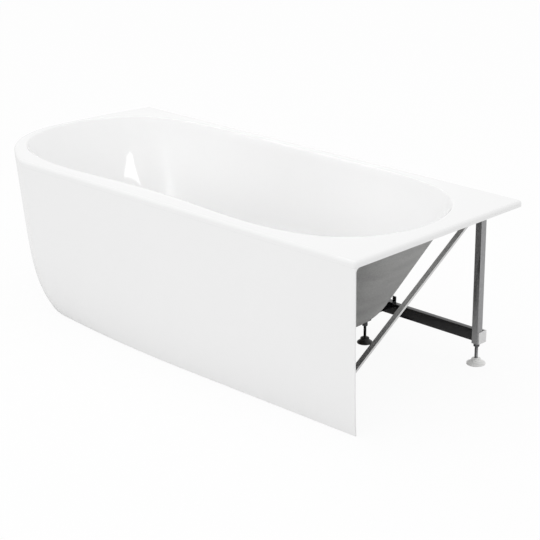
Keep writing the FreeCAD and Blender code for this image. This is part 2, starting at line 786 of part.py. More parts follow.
def make_rim_timber():
    """Batten along the back edge and the block over the post, both glued under the deck."""
    y = BACK - size("rim_round") - size("seat") - size("batten_width")
    finish(box("batten", "Sizes.batten_length", "Sizes.batten_width", "Sizes.batten_thick",
               -size("batten_length") / 2, y, BLOCK_BOTTOM), "rim_batten")
    finish(box("block", "Sizes.block_length", "Sizes.block_width", "Sizes.batten_thick",
               RIGHT - size("block_inset") - size("block_length"),
               BACK - size("block_inset") - size("block_width"), BLOCK_BOTTOM), "corner_block")


# ---------------------------------------------------------------- steel frame

ALONG_X = Rotation(Vector(0, 1, 0), 90)
ALONG_Y = Rotation(Vector(1, 0, 0), -90)


def make_rails():
    """Black rails along the back and front, butted to the post or ending level with it."""
    middle_z = RAIL_BOTTOM + size("rail_height") / 2
    half = size("rail_depth") / 2
    end = POST_X - size("tube_side") / 2
    finish(tube("back_rail", "Sizes.rail_height", "Sizes.rail_depth", end - BACK_RAIL_LEFT,
                Placement(Vector(BACK_RAIL_LEFT, BACK_RAIL_FRONT + half, middle_z), ALONG_X)),
           "back_rail")
    finish(tube("front_rail", "Sizes.rail_height", "Sizes.rail_depth", POST_RIGHT - FRONT_RAIL_LEFT,
                Placement(Vector(FRONT_RAIL_LEFT, FRONT_RAIL_OUT + half, middle_z), ALONG_X)),
           "front_rail")


def make_cross_members():
    """Two black tubes between the rails, under the base board."""
    length = BACK_RAIL_FRONT - FRONT_RAIL_IN
    for side, name in ((1, "cross_member_right"), (-1, "cross_member_left")):
        place = Vector(side * CROSS_X, FRONT_RAIL_IN, CROSS_TOP - size("tube_side") / 2)
        finish(tube(name, "Sizes.cross_width", "Sizes.tube_side", length, Placement(place, ALONG_Y)), name)


def make_post():
    """Upright at the back of the open end, its threaded insert and its top plate."""
    finish(tube("post", "Sizes.tube_side", "Sizes.tube_side", POST_TOP - POST_BOTTOM,
                Placement(Vector(POST_X, POST_Y, POST_BOTTOM), Rotation())), "post")
    side = "Sizes.tube_side - 2 * Sizes.tube_wall"
    inner = size("tube_side") - 2 * size("tube_wall")
    block = box("insert_block", side, side, "2 * Sizes.outer_nut_height",
                POST_X - inner / 2, POST_Y - inner / 2, POST_BOTTOM)
    bore = cylinder("insert_bore", "Sizes.outer_rod + 2 * Sizes.rod_play", "2 * Sizes.outer_nut_height",
                    POST_X, POST_Y, POST_BOTTOM)
    finish(cut("post_insert", block, bore), "post_insert")
    margin = size("plate_margin")
    finish(box("plate", "Sizes.tube_side + 2 * Sizes.plate_margin",
               "Sizes.tube_side + 2 * Sizes.plate_margin + Sizes.plate_reach", "Sizes.plate_thick",
               POST_X - size("tube_side") / 2 - margin, POST_FRONT - margin - size("plate_reach"),
               POST_TOP), "post_top_plate")


def make_brace():
    """Flat bar from the front rail up to the post's top plate, its ends cut level."""
    low_z = RAIL_TOP + size("bracket_thick")
    front = FRONT_RAIL_OUT - size("brace_foot_gap")
    back = POST_FRONT - size("brace_head_gap")
    level = size("brace_thick") / math.sin(math.atan2(POST_TOP - low_z, back - front))
    x = POST_RIGHT - size("brace_width")
    corners = [(front - level, low_z), (front, low_z), (back, POST_TOP), (back - level, POST_TOP)]
    outline = Part.makePolygon([Vector(x, y, z) for y, z in corners + corners[:1]])
    bar = Part.Face(outline).extrude(Vector(size("brace_width"), 0, 0))
    finish(free_form("brace", bar), "brace")
    y = front - level - size("brace_foot_margin")
    finish(box("foot_plate", "Sizes.brace_foot_width", "Sizes.brace_foot_length", "Sizes.bracket_thick",
               POST_RIGHT - size("brace_foot_width"), y, RAIL_TOP), "brace_foot")


def make_foot_clamp():
    """Pale angle on the post's foot that ties the rail to the wall side."""
    z = RAIL_BOTTOM - size("post_drop")
    y = POST_FRONT + size("clamp_front")
    face = box("clamp_face", "Sizes.bracket_thick", "Sizes.clamp_width", "Sizes.clamp_height",
               POST_RIGHT, y, z)
    leg = box("clamp_leg", "Sizes.clamp_return", "Sizes.bracket_thick", "Sizes.clamp_height",
              POST_RIGHT + size("bracket_thick") - size("clamp_return"),
              y + size("clamp_width") - size("bracket_thick"), z)
    finish(fuse("foot_clamp", [face, leg]), "foot_clamp")


def make_saddles():
    """Black clips over the back rail where the cross members meet it."""
    thick = size("bracket_thick")
    for side, name in ((1, "saddle_right"), (-1, "saddle_left")):
        x = side * (CROSS_X + size("saddle_offset")) - size("saddle_length") / 2
        top = box(name + "_top", "Sizes.saddle_length", "Sizes.rail_depth + Sizes.bracket_thick",
                  "Sizes.bracket_thick", x, BACK_RAIL_FRONT, RAIL_TOP)
        leg = box(name + "_leg", "Sizes.saddle_length", "Sizes.bracket_thick", "Sizes.rail_height / 2",
                  x, BACK_RAIL_BACK, RAIL_TOP - size("rail_height") / 2)
        lug = box(name + "_lug", "Sizes.saddle_lug_width", "Sizes.bracket_thick", "Sizes.saddle_lug",
                  x + size("saddle_length") - size("saddle_lug_width"), BACK_RAIL_BACK,
                  RAIL_TOP + thick)
        finish(fuse(name, [top, leg, lug]), name)


def make_rail_caps():
    """Plastic caps pushed into the open rail ends."""
    caps = []
    play = size("seat")
    wall = size("tube_wall")
    places = [
        (BACK_RAIL_LEFT, BACK_RAIL_FRONT, -1),
        (FRONT_RAIL_LEFT, FRONT_RAIL_OUT, -1),
        (POST_RIGHT, FRONT_RAIL_OUT, 1),
    ]
    for index, (x, y, side) in enumerate(places):
        flange_x = x if side > 0 else x - size("cap_flange")
        plug_x = x - size("cap_plug") if side > 0 else x
        flange = box("cap_flange_%d" % index, "Sizes.cap_flange", "Sizes.rail_depth", "Sizes.rail_height",
                     flange_x, y, RAIL_BOTTOM)
        plug = box("cap_plug_%d" % index, "Sizes.cap_plug",
                   "Sizes.rail_depth - 2 * Sizes.tube_wall - 2 * Sizes.seat",
                   "Sizes.rail_height - 2 * Sizes.tube_wall - 2 * Sizes.seat",
                   plug_x, y + wall + play, RAIL_BOTTOM + wall + play)
        caps.append(fuse("cap_%d" % index, [flange, plug]))
    finish(group("rail_caps", caps), "rail_caps")


def make_spacers():
    """Blocks that hold the apron's foot off the front rail."""
    blocks = []
    inset = size("skin") + size("bond") + size("apron_backing")
    z = RAIL_BOTTOM + size("rail_height") / 2 - size("spacer_size") / 2
    for index in (-1, 0, 1):
        x = size("spacer_middle") + index * size("spacer_spread")
        left = x - size("spacer_size") / 2
        reach = min(apron_inner_y(px, pz, inset) * -1
                    for px in (left, left + size("spacer_size")) for pz in (z, z + size("spacer_size")))
        block = doc.addObject("Part::Box", "spacer_%d" % (index + 1))
        block.setExpression("Length", "Sizes.spacer_size")
        block.setExpression("Height", "Sizes.spacer_size")
        block.Width = reach - size("seat") + FRONT_RAIL_OUT
        block.Placement = Placement(Vector(left, FRONT_RAIL_OUT - block.Width.Value, z), Rotation())
        blocks.append(block)
    finish(group("apron_spacers", blocks), "apron_spacers")


# ---------------------------------------------------------------- levelling feet

def foot_places():
    """Name, x, y, kind and the height of the steel it is screwed into, for every levelling foot."""
    back = BACK_RAIL_FRONT + size("rail_depth") / 2
    front = FRONT_RAIL_OUT + size("rail_depth") / 2
    left = BACK_RAIL_LEFT + size("foot_from_rail_end")
    right = POST_RIGHT - size("foot_from_rail_end")
    places = [
        ("back_right", POST_X, POST_Y, "outer", POST_BOTTOM),
        ("back_left", left, back, "outer", RAIL_BOTTOM),
        ("front_right", right, front, "outer", RAIL_BOTTOM),
    ]
    plate_bottom = RAIL_BOTTOM - size("bracket_thick")
    for end, side in (("right", 1), ("left", -1)):
        x = side * (CROSS_X + size("inner_foot_offset"))
        for row, way in (("back", 1), ("front", -1)):
            name = "inner_%s_%s" % (row, end)
            places.append((name, x, way * size("inner_foot_spread"), "inner", plate_bottom))
    return places


def make_foot_plates():
    """Plates under the cross members that carry the inner feet beside the tubes."""
    plates = []
    for name, x, y, kind, seat in foot_places():
        if kind == "outer":
            continue
        side = math.copysign(1, x)
        length = "Sizes.cross_width / 2 + Sizes.inner_foot_offset + Sizes.foot_plate_edge"
        near = CROSS_X - size("cross_width") / 2
        reach = size("cross_width") / 2 + size("inner_foot_offset") + size("foot_plate_edge")
        left = near if side > 0 else -near - reach
        blank = box("plate_blank_" + name, length, "Sizes.foot_plate_width", "Sizes.bracket_thick",
                    left, y - size("foot_plate_width") / 2, seat)
        hole = cylinder("plate_hole_" + name, "Sizes.inner_rod + 4 * Sizes.rod_play",
                        "Sizes.bracket_thick", x, y, seat)
        plates.append(cut("foot_plate_" + name, blank, hole))
    finish(group("foot_plates", plates), "foot_plates")


def hex_nut(name, kind, height, x, y, z):
    """Hexagonal nut with a clear bore."""
    prism = doc.addObject("Part::Prism", name + "_hex")
    prism.Polygon = 6
    prism.setExpression("Circumradius", "Sizes.%s_nut_flats / sqrt(3)" % kind)
    prism.setExpression("Height", height)
    prism.Placement = Placement(Vector(x, y, z), Rotation())
    bore = cylinder(name + "_bore", "Sizes.%s_rod + 2 * Sizes.rod_play" % kind, height, x, y, z)
    return cut(name, prism, bore)


def make_nuts():
    """Nuts welded under rails and plates, and the lock nuts run up against them."""
    weld = []
    lock = []
    for name, x, y, kind, seat in foot_places():
        if name != "back_right":
            seat -= size(kind + "_weld_height")
            weld.append(hex_nut("weld_nut_" + name, kind, "Sizes.%s_weld_height" % kind, x, y, seat))
        lock.append(hex_nut("lock_nut_" + name, kind, "Sizes.%s_nut_height" % kind, x, y,
                            seat - size(kind + "_nut_height")))
    finish(group("weld_nuts", weld), "weld_nuts")
    finish(group("lock_nuts", lock), "lock_nuts")


def drill_rails():
    """Holes for the rods of the outer feet in the undersides of the rails."""
    for name, x, y, kind, seat in foot_places():
        if name not in ("back_left", "front_right"):
            continue
        owner = "back_rail" if name == "back_left" else "front_rail"
        hole = cylinder("hole_" + name, "Sizes.outer_rod + 4 * Sizes.rod_play", "4 * Sizes.tube_wall",
                        x, y, seat - 2 * size("tube_wall"))
        rail = [piece for piece in nodes if piece.Label == owner][0]
        rail.Label = owner + "_tube"
        drilled = cut(owner + "_drilled", rail, hole)
        drilled.Label = owner
        nodes[nodes.index(rail)] = drilled


def make_feet():
    """A turned pad and a threaded rod for each foot."""
    for name, x, y, kind, _ in foot_places():
        radius = "Sizes.%s_pad / 2" % kind
        socket = "Sizes.%s_rod / 2 + Sizes.rod_play" % kind
        profile = [
            ("0", "0"),
            (radius, "0"),
            (radius, "Sizes.pad_rim"),
            ("Sizes.pad_boss / 2", "Sizes.pad_skirt"),
            ("Sizes.pad_boss / 2", "Sizes.pad_height"),
            (socket, "Sizes.pad_height"),
            (socket, "Sizes.rod_socket"),
            ("0", "Sizes.rod_socket"),
        ]
        place = Placement(Vector(x, y, 0), Rotation())
        finish(turned("pad_" + name, profile, place), "pad_" + name)
        rod = cylinder("rod_blank_" + name, "Sizes.%s_rod" % kind, "Sizes.%s_rod_length" % kind,
                       x, y, size("rod_socket"))
        ends = doc.addObject("Part::Chamfer", "rod_" + name)
        ends.Base = rod
        bevel = size(kind + "_pitch") / 2
        ends.Edges = [(1, bevel, bevel), (3, bevel, bevel)]
        finish(ends, "rod_" + name)


# ---------------------------------------------------------------- waste

def ring(name, outer, bore, height, z):
    """Flat ring about the waste's axis."""
    disc = cylinder(name + "_disc", outer, height, 0, 0, z)
    hole = cylinder(name + "_hole", bore, height, 0, 0, z)
    return cut(name, disc, hole)


def make_waste():
    """Flange, plug, seal, tail and shallow trap under the middle of the basin."""
    bore = "(Sizes.tail_diameter - 2 * Sizes.tail_wall)"
    rim = ring("flange_rim", "Sizes.flange_diameter", bore, "Sizes.flange_thick", FLOOR_TOP)
    tail = ring("flange_tail", "Sizes.tail_diameter", bore, "Sizes.tail_length",
                FLOOR_TOP - size("tail_length"))
    guide_z = FLOOR_TOP - size("guide_drop") - size("guide_height")
    bridge = box("guide_bar", "Sizes.tail_diameter - Sizes.tail_wall", "Sizes.guide_width",
                 "Sizes.guide_height", (size("tail_wall") - size("tail_diameter")) / 2,
                 -size("guide_width") / 2, guide_z)
    hole = cylinder("guide_hole", "Sizes.plug_stem + 2 * Sizes.rod_play", "Sizes.guide_height",
                    0, 0, guide_z)
    guide = cut("guide", bridge, hole)
    finish(fuse("waste_flange", [rim, tail, guide]), "waste_flange")

    plug_z = FLOOR_TOP + size("flange_thick") + size("seat")
    disc = cylinder("plug_disc", "Sizes.plug_diameter", "Sizes.plug_thick", 0, 0, plug_z)
    stem = cylinder("plug_stem", "Sizes.plug_stem",
                    "Sizes.guide_drop + 2 * Sizes.guide_height + Sizes.flange_thick + Sizes.seat",
                    0, 0, guide_z - size("guide_height"))
    finish(fuse("waste_plug", [disc, stem]), "waste_plug")

    loose = "Sizes.tail_diameter + 2 * Sizes.seat"
    seal_z = FLOOR_TOP - size("skin") - size("gasket_thick")
    finish(ring("seal", "Sizes.gasket_diameter", loose, "Sizes.gasket_thick", seal_z), "waste_seal")
    finish(ring("ring_nut", "Sizes.waste_nut_diameter", loose, "Sizes.waste_nut_height",
                seal_z - size("waste_nut_height")), "waste_nut")


def make_trap():
    """Shallow trap on the tail, its outlet pipe towards the back wall and the collar between them."""
    outer = "Sizes.trap_diameter / 2"
    inner = "Sizes.trap_diameter / 2 - Sizes.trap_wall"
    neck = "Sizes.tail_diameter / 2 + Sizes.seat"
    profile = [
        ("0", "0"), (outer, "0"), (outer, "Sizes.trap_height"), (neck, "Sizes.trap_height"),
        (neck, "Sizes.trap_height - Sizes.trap_wall"), (inner, "Sizes.trap_height - Sizes.trap_wall"),
        (inner, "Sizes.trap_wall"), ("0", "Sizes.trap_wall"),
    ]
    can = turned("trap_can", profile, Placement(Vector(0, 0, size("trap_bottom")), Rotation()))
    z = size("outlet_height")
    side = size("trap_diameter") / 2
    bore = "Sizes.outlet_diameter + 2 * Sizes.seat"
    branch = cylinder("branch", bore + " + 2 * Sizes.branch_wall",
                      "Sizes.trap_diameter / 4 + Sizes.branch_length", 0, side / 2, z, ALONG_Y)
    hollow = cylinder("trap_hollow", "Sizes.trap_diameter - 2 * Sizes.trap_wall",
                      "Sizes.trap_height - 2 * Sizes.trap_wall", 0, 0,
                      size("trap_bottom") + size("trap_wall"))
    open_can = cut("open_can", fuse("can_and_branch", [can, branch]), hollow)
    way = cylinder("branch_bore", bore, "Sizes.trap_diameter / 4 + Sizes.branch_length",
                   0, side / 2, z, ALONG_Y)
    finish(cut("trap", open_can, way), "trap")

    pipe_start = side + size("branch_length") / 3
    length = "Sizes.outlet_reach - Sizes.trap_diameter / 2 - Sizes.branch_length / 3"
    pipe = cylinder("pipe_outside", "Sizes.outlet_diameter", length, 0, pipe_start, z, ALONG_Y)
    pipe_bore = cylinder("pipe_inside", "Sizes.outlet_diameter - 2 * Sizes.outlet_wall", length,
                         0, pipe_start, z, ALONG_Y)
    stop = cylinder("pipe_stop", "Sizes.outlet_diameter + 2 * Sizes.stop_height", "Sizes.stop_width",
                    0, size("outlet_reach") - size("spigot_length") - size("stop_width"), z, ALONG_Y)
    finish(cut("outlet_pipe", fuse("pipe_and_stop", [pipe, stop]), pipe_bore), "outlet_pipe")

    collar_start = side + size("branch_length")
    collar = cylinder("collar_outside", "Sizes.collar_diameter", "Sizes.collar_length",
                      0, collar_start, z, ALONG_Y)
    collar_bore = cylinder("collar_inside", bore, "Sizes.collar_length", 0, collar_start, z, ALONG_Y)
    finish(cut("outlet_collar", collar, collar_bore), "outlet_collar")


make_bath_shell()
make_basin_backing()
make_apron()
make_apron_backing()
make_base_board()
make_rim_timber()
make_rails()
make_cross_members()
make_post()
make_brace()
make_foot_clamp()
make_saddles()
make_rail_caps()
make_spacers()
make_foot_plates()
make_nuts()
drill_rails()
make_feet()
make_waste()
make_trap()
doc.recompute()

for thing in doc.Objects:
    if "Invalid" in thing.State or "Error" in thing.State:
        raise RuntimeError("%s: %s" % (thing.Label, thing.State))
os.makedirs("parts", exist_ok=True)
for piece in nodes:
    shape = piece.Shape
    if shape.isNull() or not shape.isValid() or not shape.Solids:
        raise RuntimeError("bad shape: " + piece.Label)
    shape.exportStep("parts/%s.step" % piece.Label)
    print("%-24s %2d solid(s) %12.1f mm3" % (piece.Label, len(shape.Solids), shape.Volume))
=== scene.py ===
# %% [markdown]
# # A white bath for a corner
#
# The frame that comes in here holds every solid of the bath in its real place and size.  This script
# gives each one its surface, remakes the moulded pieces as smooth numpy surfaces, and lights the bath as
# a catalogue photograph would.  Units are metres: +X to the open end, +Y to the back wall, +Z up.

# %% Load the frame
import json
import math

import bpy
import numpy as np
from mathutils import Matrix, Vector


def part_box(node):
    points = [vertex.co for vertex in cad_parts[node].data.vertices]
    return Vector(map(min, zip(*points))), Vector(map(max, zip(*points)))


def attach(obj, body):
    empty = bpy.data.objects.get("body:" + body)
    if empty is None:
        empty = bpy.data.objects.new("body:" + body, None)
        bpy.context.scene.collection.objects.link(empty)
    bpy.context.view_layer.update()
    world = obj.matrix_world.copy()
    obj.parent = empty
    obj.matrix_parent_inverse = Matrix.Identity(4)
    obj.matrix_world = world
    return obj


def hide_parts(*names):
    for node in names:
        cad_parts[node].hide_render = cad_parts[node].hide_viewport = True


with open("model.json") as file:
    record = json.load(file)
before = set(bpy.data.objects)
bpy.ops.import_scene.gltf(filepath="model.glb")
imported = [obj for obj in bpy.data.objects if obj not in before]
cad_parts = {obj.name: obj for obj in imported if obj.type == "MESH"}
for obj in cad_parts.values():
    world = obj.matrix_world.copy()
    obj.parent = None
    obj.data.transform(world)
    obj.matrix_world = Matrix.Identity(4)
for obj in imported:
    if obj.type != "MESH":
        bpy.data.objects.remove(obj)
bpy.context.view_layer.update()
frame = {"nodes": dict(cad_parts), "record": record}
nodes = frame["nodes"]

# %% [markdown]
# ## Camera
#
# The photograph was taken with a long lens from the front right, a little above the rim.  A camera is
# only an object with a place and a turn, and it could be pointed at a target.  Here the turn is written
# from three plain angles instead, because a fit to the photograph's straight edges gives just these: where
# it stands round the bath, how high it looks from, and how much it is tilted sideways.

# %% Camera
AZIMUTH = math.radians(43.978)
ELEVATION = math.radians(19.881)
ROLL = math.radians(-0.313)
CAMERA_AT = (3.8838, -3.8396, 2.1731)
FOCAL_PIXELS = 1707.91
FRAME_PIXELS = 540
SENSOR_MM = 36.0
FARTHEST_SEEN = 60.0


def camera_turn(azimuth, elevation, roll):
    """Rotation whose columns are the camera's right, up and backward directions."""
    back = Vector((math.sin(azimuth) * math.cos(elevation),
                   -math.cos(azimuth) * math.cos(elevation),
                   math.sin(elevation)))
    right = Vector((math.cos(azimuth), math.sin(azimuth), 0.0))
    up = back.cross(right)
    rolled_right = math.cos(roll) * right + math.sin(roll) * up
    rolled_up = math.cos(roll) * up - math.sin(roll) * right
    return Matrix((rolled_right, rolled_up, back)).transposed()


camera_data = bpy.data.cameras.new("photo_camera")
camera_data.sensor_width = SENSOR_MM
camera_data.lens = FOCAL_PIXELS / FRAME_PIXELS * SENSOR_MM
camera_data.clip_end = FARTHEST_SEEN
camera = bpy.data.objects.new("photo_camera", camera_data)
camera.matrix_world = camera_turn(AZIMUTH, ELEVATION, ROLL).to_4x4()
camera.location = CAMERA_AT
bpy.context.scene.collection.objects.link(camera)
bpy.context.scene.camera = camera
print("camera: lens %.1f mm" % camera_data.lens)

# %% [markdown]
# ## Materials
#
# Every finish is a small network of nodes around one Principled shader.  No real surface has exactly the
# same gloss everywhere, and that unevenness is in nearly all of them.  It could be built again in each
# material.  Instead it is a node group, built once: noise in the piece's own coordinates, put out as a
# share from 0 to 1 and as the normal that it gives when it is taken as relief.  Each finish places the
# group with its own scale and strength.

# %% Uneven surface
UNEVEN_INPUTS = {"Scale": 60.0, "Detail": 3.0, "Strength": 0.1, "Distance": 0.0005}


def make_uneven_group():
    """Node group: noise of a given scale as a share, and the same noise as a bumped normal."""
    group = bpy.data.node_groups.new("uneven_surface", "ShaderNodeTree")
    for name, value in UNEVEN_INPUTS.items():
        socket = group.interface.new_socket(name=name, in_out="INPUT", socket_type="NodeSocketFloat")
        socket.default_value = value
    group.interface.new_socket(name="Share", in_out="OUTPUT", socket_type="NodeSocketFloat")
    group.interface.new_socket(name="Normal", in_out="OUTPUT", socket_type="NodeSocketVector")
    given = group.nodes.new("NodeGroupInput")
    result = group.nodes.new("NodeGroupOutput")
    place = group.nodes.new("ShaderNodeTexCoord")
    noise = group.nodes.new("ShaderNodeTexNoise")
    relief = group.nodes.new("ShaderNodeBump")
    group.links.new(place.outputs["Object"], noise.inputs["Vector"])
    group.links.new(given.outputs["Scale"], noise.inputs["Scale"])
    group.links.new(given.outputs["Detail"], noise.inputs["Detail"])
    group.links.new(noise.outputs["Fac"], relief.inputs["Height"])
    group.links.new(given.outputs["Strength"], relief.inputs["Strength"])
    group.links.new(given.outputs["Distance"], relief.inputs["Distance"])
    group.links.new(noise.outputs["Fac"], result.inputs["Share"])
    group.links.new(relief.outputs["Normal"], result.inputs["Normal"])
    return group


uneven_group = make_uneven_group()


def uneven(tree, shader, scale, detail, strength, distance):
    """Places the group in a material, links its normal and returns its share."""
    node = tree.nodes.new("ShaderNodeGroup")
    node.node_tree = uneven_group
    for name, value in zip(UNEVEN_INPUTS, (scale, detail, strength, distance)):
        node.inputs[name].default_value = value
    tree.links.new(node.outputs["Normal"], shader.inputs["Normal"])
    return node.outputs["Share"]


print("group:", uneven_group.name, "with inputs", ", ".join(UNEVEN_INPUTS))

# %% [markdown]
# ### Acrylic
#
# Sanitary acrylic is a white sheet with a very smooth skin.  A plain white with one gloss would do for a
# small piece.  On a surface as large as a bath the reflections show a faint waviness from the mould, so
# the group adds a slow wave to the gloss, the tone and the normal.  The three helpers here start a
# material, map a value onto a range and go from one colour to another, and the later finishes use them too.

# %% Acrylic
def new_material(name, colour, roughness, metallic=0.0):
    """Material with one Principled shader; returns the material, its tree and the shader."""
    material = bpy.data.materials.new(name)
    material.use_nodes = True
    tree = material.node_tree
    shader = tree.nodes["Principled BSDF"]
    shader.inputs["Base Color"].default_value = (*colour, 1.0)
    shader.inputs["Roughness"].default_value = roughness
    shader.inputs["Metallic"].default_value = metallic
    return material, tree, shader


def vary(tree, source, low, high):
    """Maps a 0 to 1 value onto a range."""
    span = tree.nodes.new("ShaderNodeMapRange")
    span.inputs["To Min"].default_value = low
    span.inputs["To Max"].default_value = high
    tree.links.new(source, span.inputs["Value"])
    return span.outputs["Result"]


def between(tree, source, first, second):
    """Colour that goes from the first to the second as a value goes from 0 to 1."""
    mix = tree.nodes.new("ShaderNodeMix")
    mix.data_type = "RGBA"
    mix.inputs["A"].default_value = (*first, 1.0)
    mix.inputs["B"].default_value = (*second, 1.0)
    tree.links.new(source, mix.inputs["Factor"])
    return mix.outputs["Result"]


ACRYLIC_IOR = 1.49


def make_acrylic():
    """White glossy acrylic with faint mould waviness."""
    material, tree, shader = new_material("white_acrylic", (0.89, 0.89, 0.89), 0.012)
    shader.inputs["IOR"].default_value = ACRYLIC_IOR
    wave = uneven(tree, shader, scale=3.0, detail=2.0, strength=0.02, distance=0.002)
    tree.links.new(vary(tree, wave, 0.005, 0.012), shader.inputs["Roughness"])
    tree.links.new(between(tree, wave, (0.885, 0.885, 0.885), (0.897, 0.897, 0.897)),
                   shader.inputs["Base Color"])
    return material


acrylic = make_acrylic()
print("made", acrylic.name)

# %% [markdown]
# ### Streaks and grain
#
# A roller leaves streaks in wet resin, and wood has grain.  Both are marks that are long in one direction.
# They could be drawn as bands, but bands repeat and real marks don't.  Noise becomes streaks when its
# coordinates are squeezed across them, and slants when they are turned.  Resin and wood both need this, so
# it is the second group.

# %% Drawn-out noise
STREAK_INPUTS = {"Scale": "NodeSocketFloat", "Detail": "NodeSocketFloat",
                 "Stretch": "NodeSocketVector", "Turn": "NodeSocketVector"}


def make_streak_group():
    """Node group: noise in the piece's own coordinates, turned and drawn out, as a share from 0 to 1."""
    group = bpy.data.node_groups.new("drawn_out_noise", "ShaderNodeTree")
    for name, kind in STREAK_INPUTS.items():
        group.interface.new_socket(name=name, in_out="INPUT", socket_type=kind)
    group.interface.new_socket(name="Share", in_out="OUTPUT", socket_type="NodeSocketFloat")
    given = group.nodes.new("NodeGroupInput")
    result = group.nodes.new("NodeGroupOutput")
    place = group.nodes.new("ShaderNodeTexCoord")
    mapping = group.nodes.new("ShaderNodeMapping")
    noise = group.nodes.new("ShaderNodeTexNoise")
    group.links.new(place.outputs["Object"], mapping.inputs["Vector"])
    group.links.new(given.outputs["Stretch"], mapping.inputs["Scale"])
    group.links.new(given.outputs["Turn"], mapping.inputs["Rotation"])
    group.links.new(mapping.outputs["Vector"], noise.inputs["Vector"])
    group.links.new(given.outputs["Scale"], noise.inputs["Scale"])
    group.links.new(given.outputs["Detail"], noise.inputs["Detail"])
    group.links.new(noise.outputs["Fac"], result.inputs["Share"])
    return group


streak_group = make_streak_group()


def streaks(tree, scale, detail, stretch=(1.0, 1.0, 1.0), turn=(0.0, 0.0, 0.0)):
    """Places the group in a material with its own values and returns its share."""
    node = tree.nodes.new("ShaderNodeGroup")
    node.node_tree = streak_group
    for name, value in zip(STREAK_INPUTS, (scale, detail, stretch, turn)):
        node.inputs[name].default_value = value
    return node.outputs["Share"]


print("group:", streak_group.name, "with inputs", ", ".join(STREAK_INPUTS))

# %% [markdown]
# ### Sprayed resin and glass
#
# Under the basin a mix of resin and chopped glass is sprayed on and rolled down.  It dries grey, matt and
# lumpy, with lighter and darker patches where the layer is thinner or thicker.  One noise can't be all of
# that, so three are mixed: wide patches, streaks drawn out in the direction of the roller, and a fine
# speckle.  The streaks and the speckle also raise the surface.

# %% Resin
def mean(tree, sources):
    """Mean of several values: their sum divided by their number."""
    total = sources[0]
    for source in sources[1:]:
        add = tree.nodes.new("ShaderNodeMath")
        tree.links.new(total, add.inputs[0])
        tree.links.new(source, add.inputs[1])
        total = add.outputs["Value"]
    divide = tree.nodes.new("ShaderNodeMath")
    divide.operation = "DIVIDE"
    divide.inputs[1].default_value = len(sources)
    tree.links.new(total, divide.inputs[0])
    return divide.outputs["Value"]


def bump(tree, shader, source, strength, distance):
    """Takes a value as relief; a distance in metres is its height and a strength from 0 to 1 its share."""
    relief = tree.nodes.new("ShaderNodeBump")
    relief.inputs["Strength"].default_value = strength
    relief.inputs["Distance"].default_value = distance
    tree.links.new(source, relief.inputs["Height"])
    tree.links.new(relief.outputs["Normal"], shader.inputs["Normal"])


def make_resin():
    """Grey sprayed resin: wide patches, slanting roller streaks, speckle and a rough bump."""
    dark, light = (0.25, 0.25, 0.247), (0.43, 0.43, 0.424)
    material, tree, shader = new_material("sprayed_resin", light, 0.62)
    patch = streaks(tree, scale=4.0, detail=4.0)
    streak = streaks(tree, scale=14.0, detail=4.0, stretch=(1.0, 0.35, 1.6), turn=(0.9, 0.3, 0.0))
    speckle = streaks(tree, scale=220.0, detail=2.0)
    tone = mean(tree, (patch, streak, speckle))
    tree.links.new(between(tree, vary(tree, tone, -1.0, 2.0), dark, light), shader.inputs["Base Color"])
    tree.links.new(vary(tree, patch, 0.5, 0.75), shader.inputs["Roughness"])
    bump(tree, shader, mean(tree, (streak, speckle)), strength=0.4, distance=0.0008)
    return material


resin = make_resin()
print("made", resin.name)

# %% [markdown]
# ### Sawn timber
#
# The board under the floor, the batten under the rim and the spacers are sawn softwood.  A wave texture
# would give straight bands like a table top.  Noise that is squeezed across the grain looks more like a
# rough cut: one layer for the grain, a finer one for the pores, and the pores also roughen the surface.

# %% Wood
def make_wood():
    """Sawn softwood: grain drawn out along X, pores and a rough surface."""
    material, tree, shader = new_material("sawn_wood", (0.55, 0.41, 0.26), 0.7)
    grain = streaks(tree, scale=6.0, detail=6.0, stretch=(1.0, 14.0, 14.0))
    pores = streaks(tree, scale=60.0, detail=2.0, stretch=(0.15, 3.0, 3.0))
    tone = vary(tree, mean(tree, (grain, pores)), -1.0, 2.0)
    tree.links.new(between(tree, tone, (0.40, 0.28, 0.16), (0.64, 0.50, 0.33)), shader.inputs["Base Color"])
    tree.links.new(vary(tree, pores, 0.6, 0.85), shader.inputs["Roughness"])
    bump(tree, shader, pores, strength=0.4, distance=0.0006)
    return material


wood = make_wood()
print("made", wood.name)

# %% [markdown]
# ### Paint, plating, plastic and rubber
#
# The frame is square tube in black gloss paint, the post and the outer rods are zinc plated, and the pads
# and the waste are plastic, rubber and chrome.  Their looks differ in few numbers: a darker and a lighter
# tone, the gloss, whether it is metal, and how fine the unevenness is.  So one recipe serves them all, and
# the table below gives each its numbers under the name of its material slot.

# %% Plain finishes
FINEST_RELIEF = 0.0005


def make_finish(name, dark, light, roughness, metallic=0.0, *, scale, relief):
    """Finish whose colour and gloss wander between two values over the surface."""
    material, tree, shader = new_material(name, light, roughness, metallic)
    wander = uneven(tree, shader, scale, detail=3.0, strength=relief, distance=FINEST_RELIEF)
    tree.links.new(between(tree, wander, dark, light), shader.inputs["Base Color"])
    tree.links.new(vary(tree, wander, roughness * 0.8, roughness * 1.25), shader.inputs["Roughness"])
    return material


